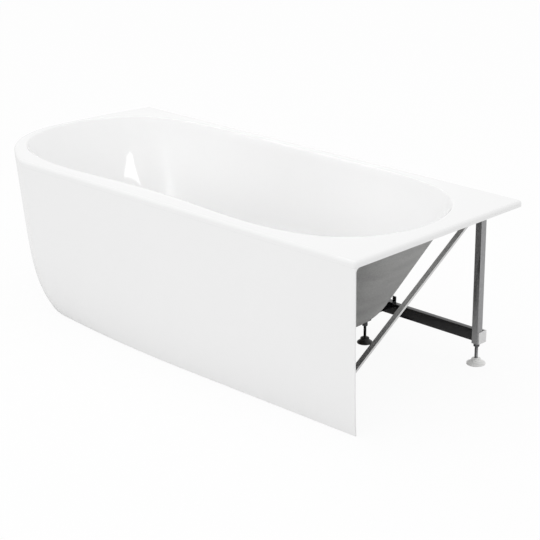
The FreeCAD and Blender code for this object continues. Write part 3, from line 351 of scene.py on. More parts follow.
finishes = {
    "acrylic": acrylic,
    "resin": resin,
    "timber": wood,
    "black_steel": make_finish("black_gloss_paint", (0.003, 0.003, 0.004), (0.006, 0.006, 0.007), 0.2,
                               scale=40.0, relief=0.03),
    # Painted shade: this zinc is far darker than real plating, standing in for the dark surroundings that
    # the post mirrors.
    "zinc_steel": make_finish("zinc_plate_painted_shade", (0.27, 0.27, 0.275), (0.40, 0.40, 0.405), 0.14, 1.0,
                              scale=120.0, relief=0.06),
    "pale_steel": make_finish("pale_grey_paint", (0.70, 0.70, 0.70), (0.78, 0.78, 0.78), 0.4,
                              scale=80.0, relief=0.08),
    "black_plastic": make_finish("black_plastic", (0.012, 0.012, 0.012), (0.02, 0.02, 0.02), 0.4,
                                 scale=150.0, relief=0.12),
    "white_pad": make_finish("white_plastic_pad", (0.82, 0.82, 0.81), (0.88, 0.88, 0.87), 0.42,
                             scale=120.0, relief=0.1),
    "white_plastic": make_finish("white_plastic", (0.72, 0.72, 0.71), (0.78, 0.78, 0.77), 0.38,
                                 scale=100.0, relief=0.08),
    "chrome": make_finish("chrome", (0.80, 0.80, 0.81), (0.86, 0.86, 0.87), 0.07, 1.0,
                          scale=200.0, relief=0.02),
    "seal_rubber": make_finish("seal_rubber", (0.02, 0.02, 0.02), (0.035, 0.035, 0.035), 0.75,
                               scale=150.0, relief=0.2),
}
print("finishes:", ", ".join(sorted(finishes)))

# %% [markdown]
# ### Each node gets its finish
#
# The record says which material slot each solid has, and that picks its finish.  Three pieces differ from
# the rest of their slot.  The brace is a rougher flat bar, and its lighter zinc is a painted reflection;
# the lock nuts are much darker, and the nuts that are welded on were painted together with the tube.

# %% Finishes on the frame's nodes
slots = {entry["node"]: entry["material_slot"] for entry in frame["record"]["subparts"]}
own_finish = {
    # Painted reflection: the brace's zinc is lighter than the post's, standing in for bright surroundings
    # that it mirrors.
    "brace": make_finish("brushed_zinc_bar_painted_reflection", (0.60, 0.60, 0.60), (0.74, 0.74, 0.74), 0.24, 1.0,
                         scale=70.0, relief=0.08),
    "lock_nuts": make_finish("dark_zinc_nut", (0.07, 0.07, 0.075), (0.13, 0.13, 0.135), 0.3, 0.9,
                             scale=160.0, relief=0.06),
    "weld_nuts": finishes["black_steel"],
}
for node, piece in nodes.items():
    piece.data.materials.clear()
    piece.data.materials.append(own_finish.get(node, finishes[slots[node]]))
print("dressed:", len(nodes), "nodes,", len(own_finish), "with a finish of their own")

# %% [markdown]
# ## Surfaces from numpy grids
#
# A moulded sheet is one surface that goes down the inside, round the edge and back on the outside.  It
# could be a single face with a Solidify modifier, but then the rim's roll and the foot of the wall would
# get whatever the modifier makes of them.  On a grid the whole path is in the maker's hand: every column
# is a path round the sheet's thickness, and the columns stand side by side round the bath.  The helpers
# turn such a grid of points into a mesh and let it stand in for its solid.

# %% Grid helpers
def grid_faces(rows, columns, round_columns):
    """Quads between neighbouring points of a grid whose rows close on themselves."""
    row, column = np.meshgrid(np.arange(rows), np.arange(columns if round_columns else columns - 1),
                              indexing="ij")
    next_row = (row + 1) % rows
    next_column = (column + 1) % columns
    corners = [row * columns + column, row * columns + next_column,
               next_row * columns + next_column, next_row * columns + column]
    return np.stack(corners, axis=-1).reshape(-1, 4)


def new_piece(name, points, face_arrays, material, crease=35.0):
    """Mesh from points (n, 3) in metres and arrays of faces; edges bent more than the crease stay sharp."""
    mesh = bpy.data.meshes.new(name)
    faces = [face for array in face_arrays for face in array.tolist()]
    mesh.from_pydata(points.tolist(), [], faces)
    mesh.shade_smooth()
    mesh.set_sharp_from_angle(angle=math.radians(crease))
    mesh.materials.append(material)
    piece = bpy.data.objects.new(name, mesh)
    bpy.context.scene.collection.objects.link(piece)
    print("%s: %d points, %d faces" % (name, len(mesh.vertices), len(mesh.polygons)))
    return piece


def stand_in(piece, node, body="tub"):
    """Lets a piece replace a node's solid: hides the solid and lets the piece ride on the body."""
    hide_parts(node)
    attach(piece, body)


print("a grid of 4 by 6 points, closed both ways, has", len(grid_faces(4, 6, True)), "faces")

# %% [markdown]
# ## Plan of the rim
#
# Seen from above the rim is a straight front, four arcs that run into each other round the free end, and
# two straight wall sides with small rounded corners.  A spline through a few points would come close, but
# a mould is drawn with arcs that meet without a kink, so arcs are used here too.  A chain starts at the
# front and follows its own direction, and only the last arc is cut where it meets the back wall.  Sizes
# of the mouldings are in millimetres, as on a drawing.

# %% Chains of arcs
MM = 0.001
HALF_LENGTH, HALF_WIDTH = 900.0, 400.0
TOP_ARCS = ((110.0, 27.5), (820.0, 11.0), (338.0, 54.3), (2270.0, None))


def chain_of_arcs(arcs, front_y, tip_x, end_y):
    """Arcs that follow a straight front and turn towards the back wall.

    Each arc is given as (radius, turn in degrees).  It starts where the last one ends, in the same
    direction.  The last one ends on y = end_y, and the whole chain is moved along X until its westernmost
    point is at tip_x.  Returns the x where the front ends and rows of (centre x, centre y, radius, start
    angle, turn) in millimetres and radians.
    """
    x, y, heading = 0.0, front_y, math.pi
    rows, tip = [], 0.0
    for radius, turn in arcs:
        centre_x = x + radius * math.cos(heading - math.pi / 2)
        centre_y = y + radius * math.sin(heading - math.pi / 2)
        start = heading + math.pi / 2
        if turn is None:
            turn = start - (math.pi - math.asin((end_y - centre_y) / radius))
        else:
            turn = math.radians(turn)
        if heading >= math.pi / 2 > heading - turn:
            tip = centre_x - radius
        rows.append([centre_x, centre_y, radius, start, turn])
        heading -= turn
        x = centre_x + radius * math.cos(start - turn)
        y = centre_y + radius * math.sin(start - turn)
    rows = np.array(rows)
    rows[:, 0] += tip_x - tip
    return tip_x - tip, rows


front_end, rim_arcs = chain_of_arcs(TOP_ARCS, -HALF_WIDTH, -HALF_LENGTH, HALF_WIDTH)
print("the rim's front is straight as far as x = %.0f mm" % front_end)

# %% [markdown]
# ### Points along a chain
#
# A mesh needs points, and an arc has none until it is sampled.  Equal numbers on each arc would leave the
# long arcs coarse, so the points stand about one spacing apart, with a least number on the short arcs.
# Each point keeps the direction that points out of the bath there, because the rim's rounding and the lip
# are built along it.

# %% Points along a chain
RIM_SPACING, LEAST_ARC_STEPS = 9.0, 12


def chain_points(front_end, rows, front_y, right_x, spacing):
    """Points and outward directions along the straight front and the arcs, from right to back."""
    count = int(abs(right_x - front_end) / spacing) + 2
    x = np.linspace(right_x, front_end, count)
    points = [np.stack([x, np.full(count, front_y)], axis=1)]
    outward = [np.tile((0.0, -1.0), (count, 1))]
    for centre_x, centre_y, radius, start, turn in rows:
        count = max(int(radius * turn / spacing), LEAST_ARC_STEPS) + 1
        angle = (start - np.linspace(0.0, turn, count))[1:]
        direction = np.stack([np.cos(angle), np.sin(angle)], axis=1)
        points.append(np.array((centre_x, centre_y)) + radius * direction)
        outward.append(direction)
    return np.concatenate(points), np.concatenate(outward)


print("front and free end: %d points" % len(chain_points(
    front_end, rim_arcs, -HALF_WIDTH, HALF_LENGTH, RIM_SPACING)[0]))

# %% [markdown]
# ### The closed outline
#
# The wall sides close the outline, with a small arc in each of three corners.  Cutting the corners off
# straight would be simpler, but the rim's rounding has to run round them without a kink.  At the back left
# corner the small arc touches the last large one from inside, so its centre lies on a circle round the
# large arc's centre.

# %% Rim plan
CORNER = 12.0
CORNER_STEPS = 9
WALL_SPACING = 16.0


def corner_points(centre, start, turn, radius):
    """Points and outward directions round a corner, clockwise from a start angle in degrees."""
    angle = math.radians(start) - np.linspace(0.0, math.radians(turn), CORNER_STEPS)
    direction = np.stack([np.cos(angle), np.sin(angle)], axis=1)
    return np.array(centre) + radius * direction, direction


def straight_points(first, second, outward):
    """Points and outward directions along a straight side, without its ends."""
    count = int(math.dist(first, second) / WALL_SPACING) + 2
    share = np.linspace(0.0, 1.0, count)[1:-1, None]
    points = np.array(first) * (1 - share) + np.array(second) * share
    return points, np.tile(outward, (len(points), 1))


def rim_plan():
    """Closed plan of the rim: (points, outward directions), clockwise from the right end of the front."""
    rows = rim_arcs.copy()
    centre_x, centre_y, radius, start, _ = rows[-1]
    corner_y = HALF_WIDTH - CORNER
    corner_x = centre_x - math.sqrt((radius - CORNER) ** 2 - (corner_y - centre_y) ** 2)
    meets = math.atan2(corner_y - centre_y, corner_x - centre_x)
    rows[-1, 4] = start - meets
    near, far = HALF_LENGTH - CORNER, HALF_WIDTH - CORNER
    back_left = corner_points((corner_x, corner_y), math.degrees(meets), math.degrees(meets) - 90, CORNER)
    pieces = [
        chain_points(front_end, rows, -HALF_WIDTH, near, RIM_SPACING),
        [part[1:] for part in back_left],
        straight_points((corner_x, HALF_WIDTH), (near, HALF_WIDTH), (0.0, 1.0)),
        corner_points((near, far), 90, 90, CORNER),
        straight_points((HALF_LENGTH, far), (HALF_LENGTH, -far), (1.0, 0.0)),
        corner_points((near, -far), 0, 90, CORNER),
    ]
    points = np.concatenate([piece[0] for piece in pieces])
    outward = np.concatenate([piece[1] for piece in pieces])
    return points[:-1], outward[:-1]


rim, rim_out = rim_plan()
print("rim plan: %d points, %.0f mm round" % (len(rim), np.linalg.norm(
    np.roll(rim, -1, axis=0) - rim, axis=1).sum()))

# %% [markdown]
# ## Basin
#
# The opening of a bath is neither an ellipse nor a rectangle: its sides are long and nearly straight, and
# its ends are round.  The curve |x/a|^5.5 + (y/b)^2 = 1 has that shape with one formula.  For a direction
# seen from the centre the formula can't be solved for the distance, so the distance is found by halving
# an interval forty times, for all directions at once.

# %% Oval of the opening
OPENING_A, OPENING_B = 859.0, 358.0
POWER = 5.5
FARTHEST_REACH = 1.5


def halving(test, low, high, rounds=40):
    """Largest value of each element of an interval for which a rising test still holds."""
    for _ in range(rounds):
        middle = (low + high) / 2
        holds = test(middle)
        low, high = np.where(holds, middle, low), np.where(holds, high, middle)
    return low


def unit_oval(angle):
    """Point of |x|^POWER + y^2 = 1 in the direction of each angle."""
    along, across = np.cos(angle), np.sin(angle)
    reach = halving(lambda k: np.abs(k * along) ** POWER + (k * across) ** 2 < 1,
                    np.ones_like(angle), np.full_like(angle, FARTHEST_REACH))
    return reach * along, reach * across


print("half way between its axes the unit oval reaches %.3f" % np.hypot(
    *unit_oval(np.array([math.pi / 4])))[0])

# %% [markdown]
# ### From the opening down to the floor
#
# The floor is the same oval drawn smaller, and the front side is bent in a little.  From each point of the
# opening a wall runs to its partner on the floor: a rounded edge, a straight slope, and an arc into the
# floor.  The slope could be typed in for the ends and the sides, but in between it has to be whatever
# makes the wall arrive at its partner.  So it is found by halving too.

# %% Basin columns
RIM, FLOOR = 550.0, 134.0
EDGE = 10.0
CENTRE = np.array((-21.0, 4.0))
WAIST, WAIST_REACH = 26.0, 520.0
END_LEAN, SIDE_LEAN = math.radians(33.4), math.radians(7.0)
END_FOOT, SIDE_FOOT = 150.0, 170.0
LEAST_LEAN, MOST_LEAN = math.radians(-20), math.radians(60)


def wall_inset(tilt, foot):
    """Distance inwards from the opening to the flat floor: edge, slope and foot arc added up."""
    slope = (RIM - FLOOR - EDGE + EDGE * np.sin(tilt) - foot * (1 - np.sin(tilt))) / np.cos(tilt)
    return (EDGE + foot) * np.cos(tilt) + slope * np.sin(tilt)


def basin_columns(points):
    """What each column needs, for rim points seen from the basin's centre.

    The front bends in by WAIST times a squared cosine that falls to nothing at WAIST_REACH.  The foot's
    radius goes from the side's to the end's with |x|^POWER.
    """
    from_centre = points - CENTRE
    seen = np.arctan2(from_centre[:, 1], from_centre[:, 0])
    angle = np.arctan2(OPENING_A * np.sin(seen), OPENING_B * np.cos(seen))
    unit_x, unit_y = unit_oval(angle)
    x, y = OPENING_A * unit_x, OPENING_B * unit_y
    bent = (y < 0) & (np.abs(x) < WAIST_REACH)
    y = y + np.where(bent, WAIST * np.cos(np.pi * x / (2 * WAIST_REACH)) ** 2, 0.0)
    opening = np.stack([x, y], axis=1) + CENTRE
    floor_a = OPENING_A - wall_inset(END_LEAN, END_FOOT)
    floor_b = OPENING_B - wall_inset(SIDE_LEAN, SIDE_FOOT)
    floor = np.stack([floor_a * unit_x, floor_b * unit_y], axis=1) + CENTRE
    inset = np.linalg.norm(floor - opening, axis=1)
    foot = SIDE_FOOT + (END_FOOT - SIDE_FOOT) * np.abs(unit_x) ** POWER
    tilt = halving(lambda lean: wall_inset(lean, foot) < inset,
                   np.full_like(inset, LEAST_LEAN), np.full_like(inset, MOST_LEAN))
    return {"opening": opening, "floor": floor, "inward": (floor - opening) / inset[:, None],
            "foot": foot, "tilt": tilt}


columns = basin_columns(rim)
print("basin walls lean %.1f to %.1f degrees" % tuple(np.degrees(
    [columns["tilt"].min(), columns["tilt"].max()])))

# %% [markdown]
# ### The wall in rows
#
# The acrylic and the resin under it have the same wall at different depths.  An offset moves the wall
# into the material: the rounded edge gets tighter by it, the arc at the foot gets wider, and the slope
# stays parallel.  Scaling the whole wall would be shorter to write, but would make the sheet thinner on
# the steep sides.  Rows stand close together where a curve begins or ends.

# %% Basin wall
LEAST_ROUND = 0.5
EDGE_STEPS, SLOPE_STEPS, FOOT_STEPS = 9, 10, 16
CLOSE_BELOW, CLOSE_ABOVE = 0.01, 0.99


def wall_rows(columns, offset):
    """Rows of points down the basin wall, moved into the material by an offset."""
    tilt, foot = columns["tilt"], columns["foot"]
    edge = max(EDGE - offset, LEAST_ROUND)
    share = np.linspace(0.0, 1.0, EDGE_STEPS)[:, None]
    angle = np.pi / 2 + (tilt - np.pi / 2) * share
    reach = [edge * np.cos(angle)]
    height = [RIM - EDGE + edge * np.sin(angle)]
    share = np.linspace(0.0, 1.0, FOOT_STEPS)[:, None]
    angle = tilt + (np.pi / 2 - tilt) * share
    foot_reach = wall_inset(tilt, foot) - (foot + offset) * np.cos(angle)
    foot_height = FLOOR + foot - (foot + offset) * np.sin(angle)
    share = np.array([CLOSE_BELOW, *np.linspace(0.0, 1.0, SLOPE_STEPS)[1:-1], CLOSE_ABOVE])[:, None]
    reach.append(reach[0][-1] * (1 - share) + foot_reach[0] * share)
    height.append(height[0][-1] * (1 - share) + foot_height[0] * share)
    reach = np.concatenate(reach + [foot_reach])
    height = np.concatenate(height + [foot_height])
    plan = columns["opening"][None] + columns["inward"][None] * reach[..., None]
    return np.concatenate([plan, height[..., None]], axis=2)


print("basin wall: %d rows of %d points" % wall_rows(columns, 0.0).shape[:2])

# %% [markdown]
# ## The acrylic bath
#
# The real bath is one sheet, sucked down into a mould while it is hot.  Two kinds of rows are needed
# besides the basin's wall: level rows between two outlines, for the floor and the deck, and rows that
# follow the rim inwards by some distance, for its rounding and the lip.  Both are written as blends of
# whole outlines, so no point is placed by hand.

# %% Level rows and rim rows
def level_rows(first, second, height, shares):
    """Rows between two plan outlines at one height."""
    shares = np.asarray(shares)[:, None, None]
    plan = first[None] * (1 - shares) + second[None] * shares
    return np.concatenate([plan, np.full(plan.shape[:2] + (1,), height)], axis=2)


def rim_rows(insets, heights):
    """Rows that follow the rim's plan at given distances inwards and given heights."""
    plan = rim[None] - rim_out[None] * np.asarray(insets)[:, None, None]
    height = np.broadcast_to(np.asarray(heights)[:, None, None], plan.shape[:2] + (1,))
    return np.concatenate([plan, height], axis=2)


print("a rim row 10 mm in is %.0f mm long in X" % np.ptp(rim_rows([10.0], [RIM])[..., 0]))

# %% [markdown]
# ### The path of a column
#
# Each column starts at the waste hole, runs over the floor, up the wall, across the deck, over the
# rounded rim, down the lip, and comes back five millimetres behind: up inside the lip, under the deck and
# down the outside of the basin.  Rows stand close together beside every change of curvature, so that the
# smooth shading doesn't smear a flat deck into its rounded edge.

# %% Bath surface
SKIN, LIP, RIM_ROUND = 5.0, 20.0, 11.0
WASTE_HOLE = 26.0
DECK_SHARES = [0.004, 0.03, 0.2, 0.5, 0.8, 0.97, 0.996]
ROW_GAP, LIP_ROW = 0.3, 1.0
ROUND_STEPS = 10


def round_hole(radius):
    """Point of a circle round the origin for each column, in the direction of its point on the floor."""
    seen = columns["floor"]
    return radius * seen / np.linalg.norm(seen, axis=1)[:, None]


def bath_surface():
    """Grid of the acrylic sheet: rows close round its thickness, columns close round the bath."""
    hole = round_hole(WASTE_HOLE)
    quarter = np.radians(np.linspace(0, 90, ROUND_STEPS))
    inner_round = RIM_ROUND - SKIN
    shoulder = RIM - RIM_ROUND
    lip_foot = RIM - LIP
    deck_edge = rim - rim_out * RIM_ROUND
    parts = [
        level_rows(hole, columns["floor"], FLOOR, [0, 0.1, 0.35, 0.65, 0.9, 0.985]),
        wall_rows(columns, 0.0)[::-1],
        level_rows(columns["opening"], deck_edge, RIM, DECK_SHARES),
        rim_rows(RIM_ROUND - RIM_ROUND * np.sin(quarter), shoulder + RIM_ROUND * np.cos(quarter)),
        rim_rows([0, 0, 0, ROW_GAP, SKIN - ROW_GAP, SKIN],
                 [shoulder - ROW_GAP, lip_foot + LIP_ROW, lip_foot + ROW_GAP, lip_foot, lip_foot,
                  lip_foot + ROW_GAP]),
        rim_rows([SKIN, SKIN], [lip_foot + LIP_ROW, shoulder - ROW_GAP]),
        rim_rows(RIM_ROUND - inner_round * np.sin(quarter[::-1]),
                 shoulder + inner_round * np.cos(quarter[::-1])),
        level_rows(deck_edge, columns["opening"], RIM - SKIN, DECK_SHARES),
        wall_rows(columns, SKIN),
        level_rows(columns["floor"], hole, FLOOR - SKIN, [0.015, 0.1, 0.35, 0.65, 0.9, 1]),
    ]
    return np.concatenate(parts)


def closed_piece(name, surface, material):
    """Piece from a grid in millimetres that closes both round the sheet and round the bath."""
    return new_piece(name, surface.reshape(-1, 3) * MM, [grid_faces(*surface.shape[:2], True)], material)


bath = closed_piece("acrylic_bath", bath_surface(), acrylic)
stand_in(bath, "bath_shell")

# %% [markdown]
# ## Resin under the basin
#
# The sprayed layer is what makes the thin acrylic stiff.  It could be a copy of the basin, made thicker by
# a modifier, but it has to end cleanly under the deck and round the waste.  The rows of the basin wall
# serve again, with larger offsets: a tenth of a millimetre off the acrylic, so that the two surfaces
# never coincide, and eight millimetres thick.

# %% Resin layer
BOND, BACKING = 0.1, 8.0
SEAL_HOLE = 39.2


def backing_surface():
    """Grid of the resin layer: down its outside, across the floor, back up against the acrylic."""
    hole = round_hole(SEAL_HOLE)
    inner, outer = SKIN + BOND, SKIN + BOND + BACKING
    parts = [
        wall_rows(columns, outer),
        level_rows(columns["floor"], hole, FLOOR - outer, [0.015, 0.1, 0.4, 0.7, 0.95, 1]),
        level_rows(hole, columns["floor"], FLOOR - inner, [0, 0.05, 0.3, 0.6, 0.9, 0.985]),
        wall_rows(columns, inner)[::-1],
    ]
    return np.concatenate(parts)


backing = closed_piece("basin_resin", backing_surface(), resin)
stand_in(backing, "basin_backing")

# %% [markdown]
# ## Apron
#
# The apron is the panel that hides the frame.  It hangs from the lip and goes in one piece from the open
# end round the free end to the back wall.  Its upper edge follows the rim, and its lower edge follows a
# chain of arcs of its own, set further back, mostly at the free end.  Both outlines are sampled at equal
# shares of their lengths, which pairs each upper point with the lower one that belongs to it.

# %% Apron outlines
FOOT_ARCS = ((5470.0, 6.8), (334.0, 33.5), (288.0, 48.0), (2246.0, None))
TOE_FRONT, TOE_END = 10.0, 154.0
APRON_WALL_GAP = 10.0
OUTLINE_SPACING = 1.0
APRON_COLUMNS = 420


def along(points, shares):
    """Points at given shares of an outline's length."""
    steps = np.linalg.norm(np.diff(points, axis=0), axis=1)
    length = np.concatenate([[0.0], np.cumsum(steps)])
    return np.stack([np.interp(shares * length[-1], length, points[:, axis]) for axis in (0, 1)], axis=1)


def apron_outlines(shares, right_x, wall_gap):
    """Upper and lower outline of the apron at equal shares of their lengths."""
    end_y = HALF_WIDTH - wall_gap
    upper_y, lower_y = -HALF_WIDTH, -HALF_WIDTH + TOE_FRONT
    top = chain_of_arcs(TOP_ARCS, upper_y, -HALF_LENGTH, end_y)
    low = chain_of_arcs(FOOT_ARCS, lower_y, -HALF_LENGTH + TOE_END, end_y)
    upper = chain_points(*top, upper_y, right_x, OUTLINE_SPACING)[0]
    lower = chain_points(*low, lower_y, right_x, OUTLINE_SPACING)[0]
    return along(upper, shares), along(lower, shares)


shares = np.linspace(0.0, 1.0, APRON_COLUMNS)
upper, lower = apron_outlines(shares, HALF_LENGTH, APRON_WALL_GAP)
apart = np.linalg.norm(upper - lower, axis=1)
print("paired points of the two outlines are %.0f to %.0f mm apart" % (apart.min(), apart.max()))

# %% [markdown]
# ### The apron's wall
#
# On the way down each point moves along the straight line from the upper to the lower outline, evenly at
# first and then quickly.  A straight slope would leave the foot too sharp, and an arc would bend all the
# way.  The sum of a straight share and a high power of the drop gives the long flat wall and the tuck near
# the floor.  The inside is moved inwards by more where the wall leans, so that the sheet stays equally
# thick.

# %% Apron wall
APRON_TOP, APRON_FOOT = RIM - LIP, 4.0
LEAN_SHARE, TUCK = 0.51, 7.3
APRON_ROWS, CROWDING = 44, 1.5


def apron_wall(upper, lower, heights, inset):
    """Rows of the apron's wall at an inset from its outside, one per height."""
    drop = (APRON_TOP - np.asarray(heights)) / (APRON_TOP - APRON_FOOT)
    mix = LEAN_SHARE * drop + (1 - LEAN_SHARE) * drop ** TUCK
    growth = (LEAN_SHARE + (1 - LEAN_SHARE) * TUCK * drop ** (TUCK - 1)) / (APRON_TOP - APRON_FOOT)
    plan = upper[None] + (lower - upper)[None] * mix[:, None, None]
    tangent = np.gradient(plan, axis=1)
    tangent /= np.linalg.norm(tangent, axis=2)[..., None]
    inward = np.stack([tangent[..., 1], -tangent[..., 0]], axis=2)
    lean = np.linalg.norm(lower - upper, axis=1)[None] * growth[:, None]
    plan = plan + inward * (inset * np.sqrt(1 + lean ** 2))[..., None]
    height = np.broadcast_to(np.asarray(heights)[:, None, None], plan.shape[:2] + (1,))
    return np.concatenate([plan, height], axis=2)


def apron_heights(top, foot):
    """Heights from top to foot, closer together where the wall tucks under."""
    share = np.linspace(0.0, 1.0, APRON_ROWS)
    return top + (foot - top) * (1 - (1 - share) ** CROWDING)


heights = apron_heights(APRON_TOP, APRON_FOOT)
print("apron rows are %.1f mm apart at the top and %.1f mm at the foot" % (
    heights[0] - heights[1], heights[-2] - heights[-1]))

# %% [markdown]
# ### Sheet and resin of the apron
#
# The apron is acrylic with a thin sprayed layer of its own, which stops short of the edges so that only
# white acrylic shows there.  Both are the same wall between two insets.  This grid is open at its ends,
# so two caps close it: each cap is a strip of quads from the outside to the inside.

# %% Apron and its resin
EDGE_BACK, APRON_BACKING = 14.0, 3.0


def ribbon_caps(rows, columns):
    """Faces that close both ends of a grid whose first half of rows is outside and second half inside."""
    outer = np.arange(rows // 2 - 1)
    inner = rows - 1 - outer
    caps = []
    for column, turn in ((0, 1), (columns - 1, -1)):
        quads = np.stack([outer, outer + 1, inner - 1, inner], axis=-1) * columns + column
        caps.append(quads[:, ::turn])
    return np.concatenate(caps)


def skirt(name, edge_back, outer, inner, material):
    """Sheet between two insets, set back from all edges of the apron and closed at its ends."""
    right_x, wall_gap = HALF_LENGTH - edge_back, APRON_WALL_GAP + edge_back
    upper, lower = apron_outlines(shares, right_x, wall_gap)
    heights = apron_heights(APRON_TOP - edge_back, APRON_FOOT + edge_back)
    outside = apron_wall(upper, lower, heights, outer)
    inside = apron_wall(upper, lower, heights, inner)[::-1]
    for wall in (outside, inside):
        wall[:, 0, 0] = right_x
        wall[:, -1, 1] = HALF_WIDTH - wall_gap
    grid = np.concatenate([outside, inside])
    rows, count = grid.shape[:2]
    faces = [grid_faces(rows, count, False), ribbon_caps(rows, count)]
    return new_piece(name, grid.reshape(-1, 3) * MM, faces, material)


apron = skirt("apron_sheet", 0.0, 0.0, SKIN, acrylic)
stand_in(apron, "apron")
apron_resin = skirt("apron_resin", EDGE_BACK, SKIN + BOND, SKIN + BOND + APRON_BACKING, resin)
stand_in(apron_resin, "apron_backing")

# %% [markdown]
# ### The small web at the open end
#
# Where the lip turns from the apron to the open end the mould leaves a little rounded web between them.
# It could be cut from a block with a Boolean, which leaves long thin faces.  It is drawn instead: a
# quarter circle and the corner behind it make an outline, and the outline is given one skin's thickness.

# %% Web between lip and apron
WEB = 15.0
WEB_STEPS = 12


def corner_web():
    """Small rounded web at the open end: a square less a quarter circle, one skin thick."""
    turn = np.radians(np.linspace(0, 90, WEB_STEPS))
    low_y = -HALF_WIDTH + SKIN
    curve = np.stack([low_y + WEB - WEB * np.cos(turn), APRON_TOP - WEB + WEB * np.sin(turn)], axis=1)
    outline = np.concatenate([curve, [[low_y, APRON_TOP]]])
    count = len(outline)
    points = np.concatenate([np.insert(outline, 0, x, axis=1) for x in (HALF_LENGTH - SKIN, HALF_LENGTH)])
    step = np.arange(count)
    sides = np.stack([step, (step + 1) % count, (step + 1) % count + count, step + count], axis=1)
    corner = count - 1
    fan = np.stack([np.full(count - 2, corner), step[1:-1], step[:-2]], axis=1)
    return new_piece("corner_web", points * MM, [sides, fan, fan[:, ::-1] + count], acrylic)


web = corner_web()
stand_in(web, "apron")

# %% [markdown]
# ## Square tube
#
# Rolled steel tube has rounded long edges, and they carry the bright lines that make it read as steel.
# A Bevel modifier would have to be kept off the cut ends, which are sawn square.  It is simpler to draw
# the cross-section with rounded corners, outside and inside, and to sweep it straight.  Each tube takes its
# place and size from its solid in the frame, so only the wall and the edge radius are written here.

# %% Tubes
TUBE_WALL, TUBE_EDGE = 1.5 * MM, 2.2 * MM
TUBE_AXES = {"back_rail": 0, "front_rail": 0, "cross_member_right": 1, "cross_member_left": 1, "post": 2}
EDGE_POINTS = 6


def rounded_rectangle(width, height, radius):
    """Points round a rectangle with rounded corners, centred on the origin."""
    middle = np.radians(np.arange(45, 360, 90))
    side = np.sign(np.stack([np.cos(middle), np.sin(middle)], axis=1))
    corner = side * (width / 2 - radius, height / 2 - radius)
    turn = middle[:, None] + np.radians(np.linspace(-45, 45, EDGE_POINTS))[None]
    arc = np.stack([np.cos(turn), np.sin(turn)], axis=-1) * radius
    return (corner[:, None] + arc).reshape(-1, 2)


def square_tube(node, axis):
    """Hollow section with rounded edges that fills the box of a CAD node along an axis."""
    low, high = (np.array(corner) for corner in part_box(node))
    # In this order first, second and axis turn the same way as X, Y and Z, which keeps the faces outward.
    first, second = (axis + 1) % 3, (axis + 2) % 3
    size = high - low
    outer = rounded_rectangle(size[first], size[second], TUBE_EDGE)
    inner = rounded_rectangle(size[first] - 2 * TUBE_WALL, size[second] - 2 * TUBE_WALL,
                              TUBE_EDGE - TUBE_WALL)
    ring = np.stack([outer, outer, inner, inner])
    grid = np.zeros(ring.shape[:2] + (3,))
    grid[..., first] = ring[..., 0] + (low[first] + high[first]) / 2
    grid[..., second] = ring[..., 1] + (low[second] + high[second]) / 2
    grid[..., axis] = np.array([low[axis], high[axis], high[axis], low[axis]])[:, None]
    faces = [grid_faces(*grid.shape[:2], True)]
    tube = new_piece(node + "_tube", grid.reshape(-1, 3), faces, finishes[slots[node]])
    stand_in(tube, node)


for node, axis in TUBE_AXES.items():
    square_tube(node, axis)

# %% [markdown]
# ## Soft corners
#
# On real mouldings and turned pieces no corner is sharp, and each one catches a thin line of light.  A
# Bevel modifier would soften all of them by the same amount.  Here a profile is a list of corners, each
# with a softness of its own, and a short curve takes the place of each corner between the two straight
# stretches that meet there.

# %% Softened profile
SOFT_STEPS = 5


def softened(corners):
    """Profile through (radius, height, softness) corners, each rounded off by a quadratic curve."""
    corners = np.array(corners, float)
    places, softness = corners[:, :2], corners[:, 2]
    points = [places[0][None]]
    share = np.linspace(0, 1, SOFT_STEPS)[:, None]
    for before, here, after, soft in zip(places, places[1:], places[2:], softness[1:]):
        back, onward = before - here, after - here
        enter = here + back / np.linalg.norm(back) * soft
        leave = here + onward / np.linalg.norm(onward) * soft
        points.append(enter * (1 - share) ** 2 + here * 2 * share * (1 - share) + leave * share ** 2)
    points.append(places[-1][None])
    return np.concatenate(points)


print("a softened square corner has", len(softened([(0, 0, 0), (1, 0, 0.1), (1, 1, 0)])), "points")

# %% [markdown]
# ## Stacks of rings
#
# Pads, rods and plug are round.  A Screw modifier could spin their profiles, but a thread isn't round
# all the way.  One helper serves both: it takes the radius and the height of every point of a stack of
# rings, sets the stack on its centre and closes it with a pole at each end.

# %% Round bodies
TURNED_STEPS = 56


def round_body(name, radius, height, centre, node, body, steps=TURNED_STEPS):
    """Closed body of revolution from rings; radius and height are (rings, steps) or (rings, 1)."""
    angle = np.linspace(0, 2 * np.pi, steps, endpoint=False)[None]
    radius = np.broadcast_to(radius, (len(radius), steps))
    height = np.broadcast_to(height, radius.shape)
    grid = np.stack([radius * np.cos(angle) + centre[0], radius * np.sin(angle) + centre[1], height],
                    axis=2).reshape(-1, 3)
    rings = len(radius)
    poles = np.array([(centre[0], centre[1], height[0].mean()), (centre[0], centre[1], height[-1].mean())])
    quads = grid_faces(rings, steps, True)[:(rings - 1) * steps]
    step = np.arange(steps)
    following = (step + 1) % steps
    last = (rings - 1) * steps
    bottom = np.stack([following, step, np.full(steps, len(grid))], axis=1)
    top = np.stack([step + last, following + last, np.full(steps, len(grid) + 1)], axis=1)
    piece = new_piece(name, np.concatenate([grid, poles]), [quads, bottom, top], finishes[slots[node]],
                      crease=38.0)
    stand_in(piece, node, body)


print("turned pieces have", TURNED_STEPS, "steps to a turn")

# %% [markdown]
# ### Pads
#
# Each foot stands on a moulded pad: a disc with a rounded rim, a shallow cone, a boss, and a collar round
# the socket that the rod turns in.  The profile is drawn from the middle of the underside outwards, up to
# the collar and down into the socket.  Drawn the other way round, the pad would be inside out.

# %% Pads
PAD_RIM = 4 * MM
BOSS, BOSS_FOOT = 15 * MM, 12 * MM
COLLAR, COLLAR_HEIGHT = 10.5 * MM, 2.5 * MM
SOCKET_PLAY, SOCKET_FLOOR = 0.08 * MM, 10 * MM


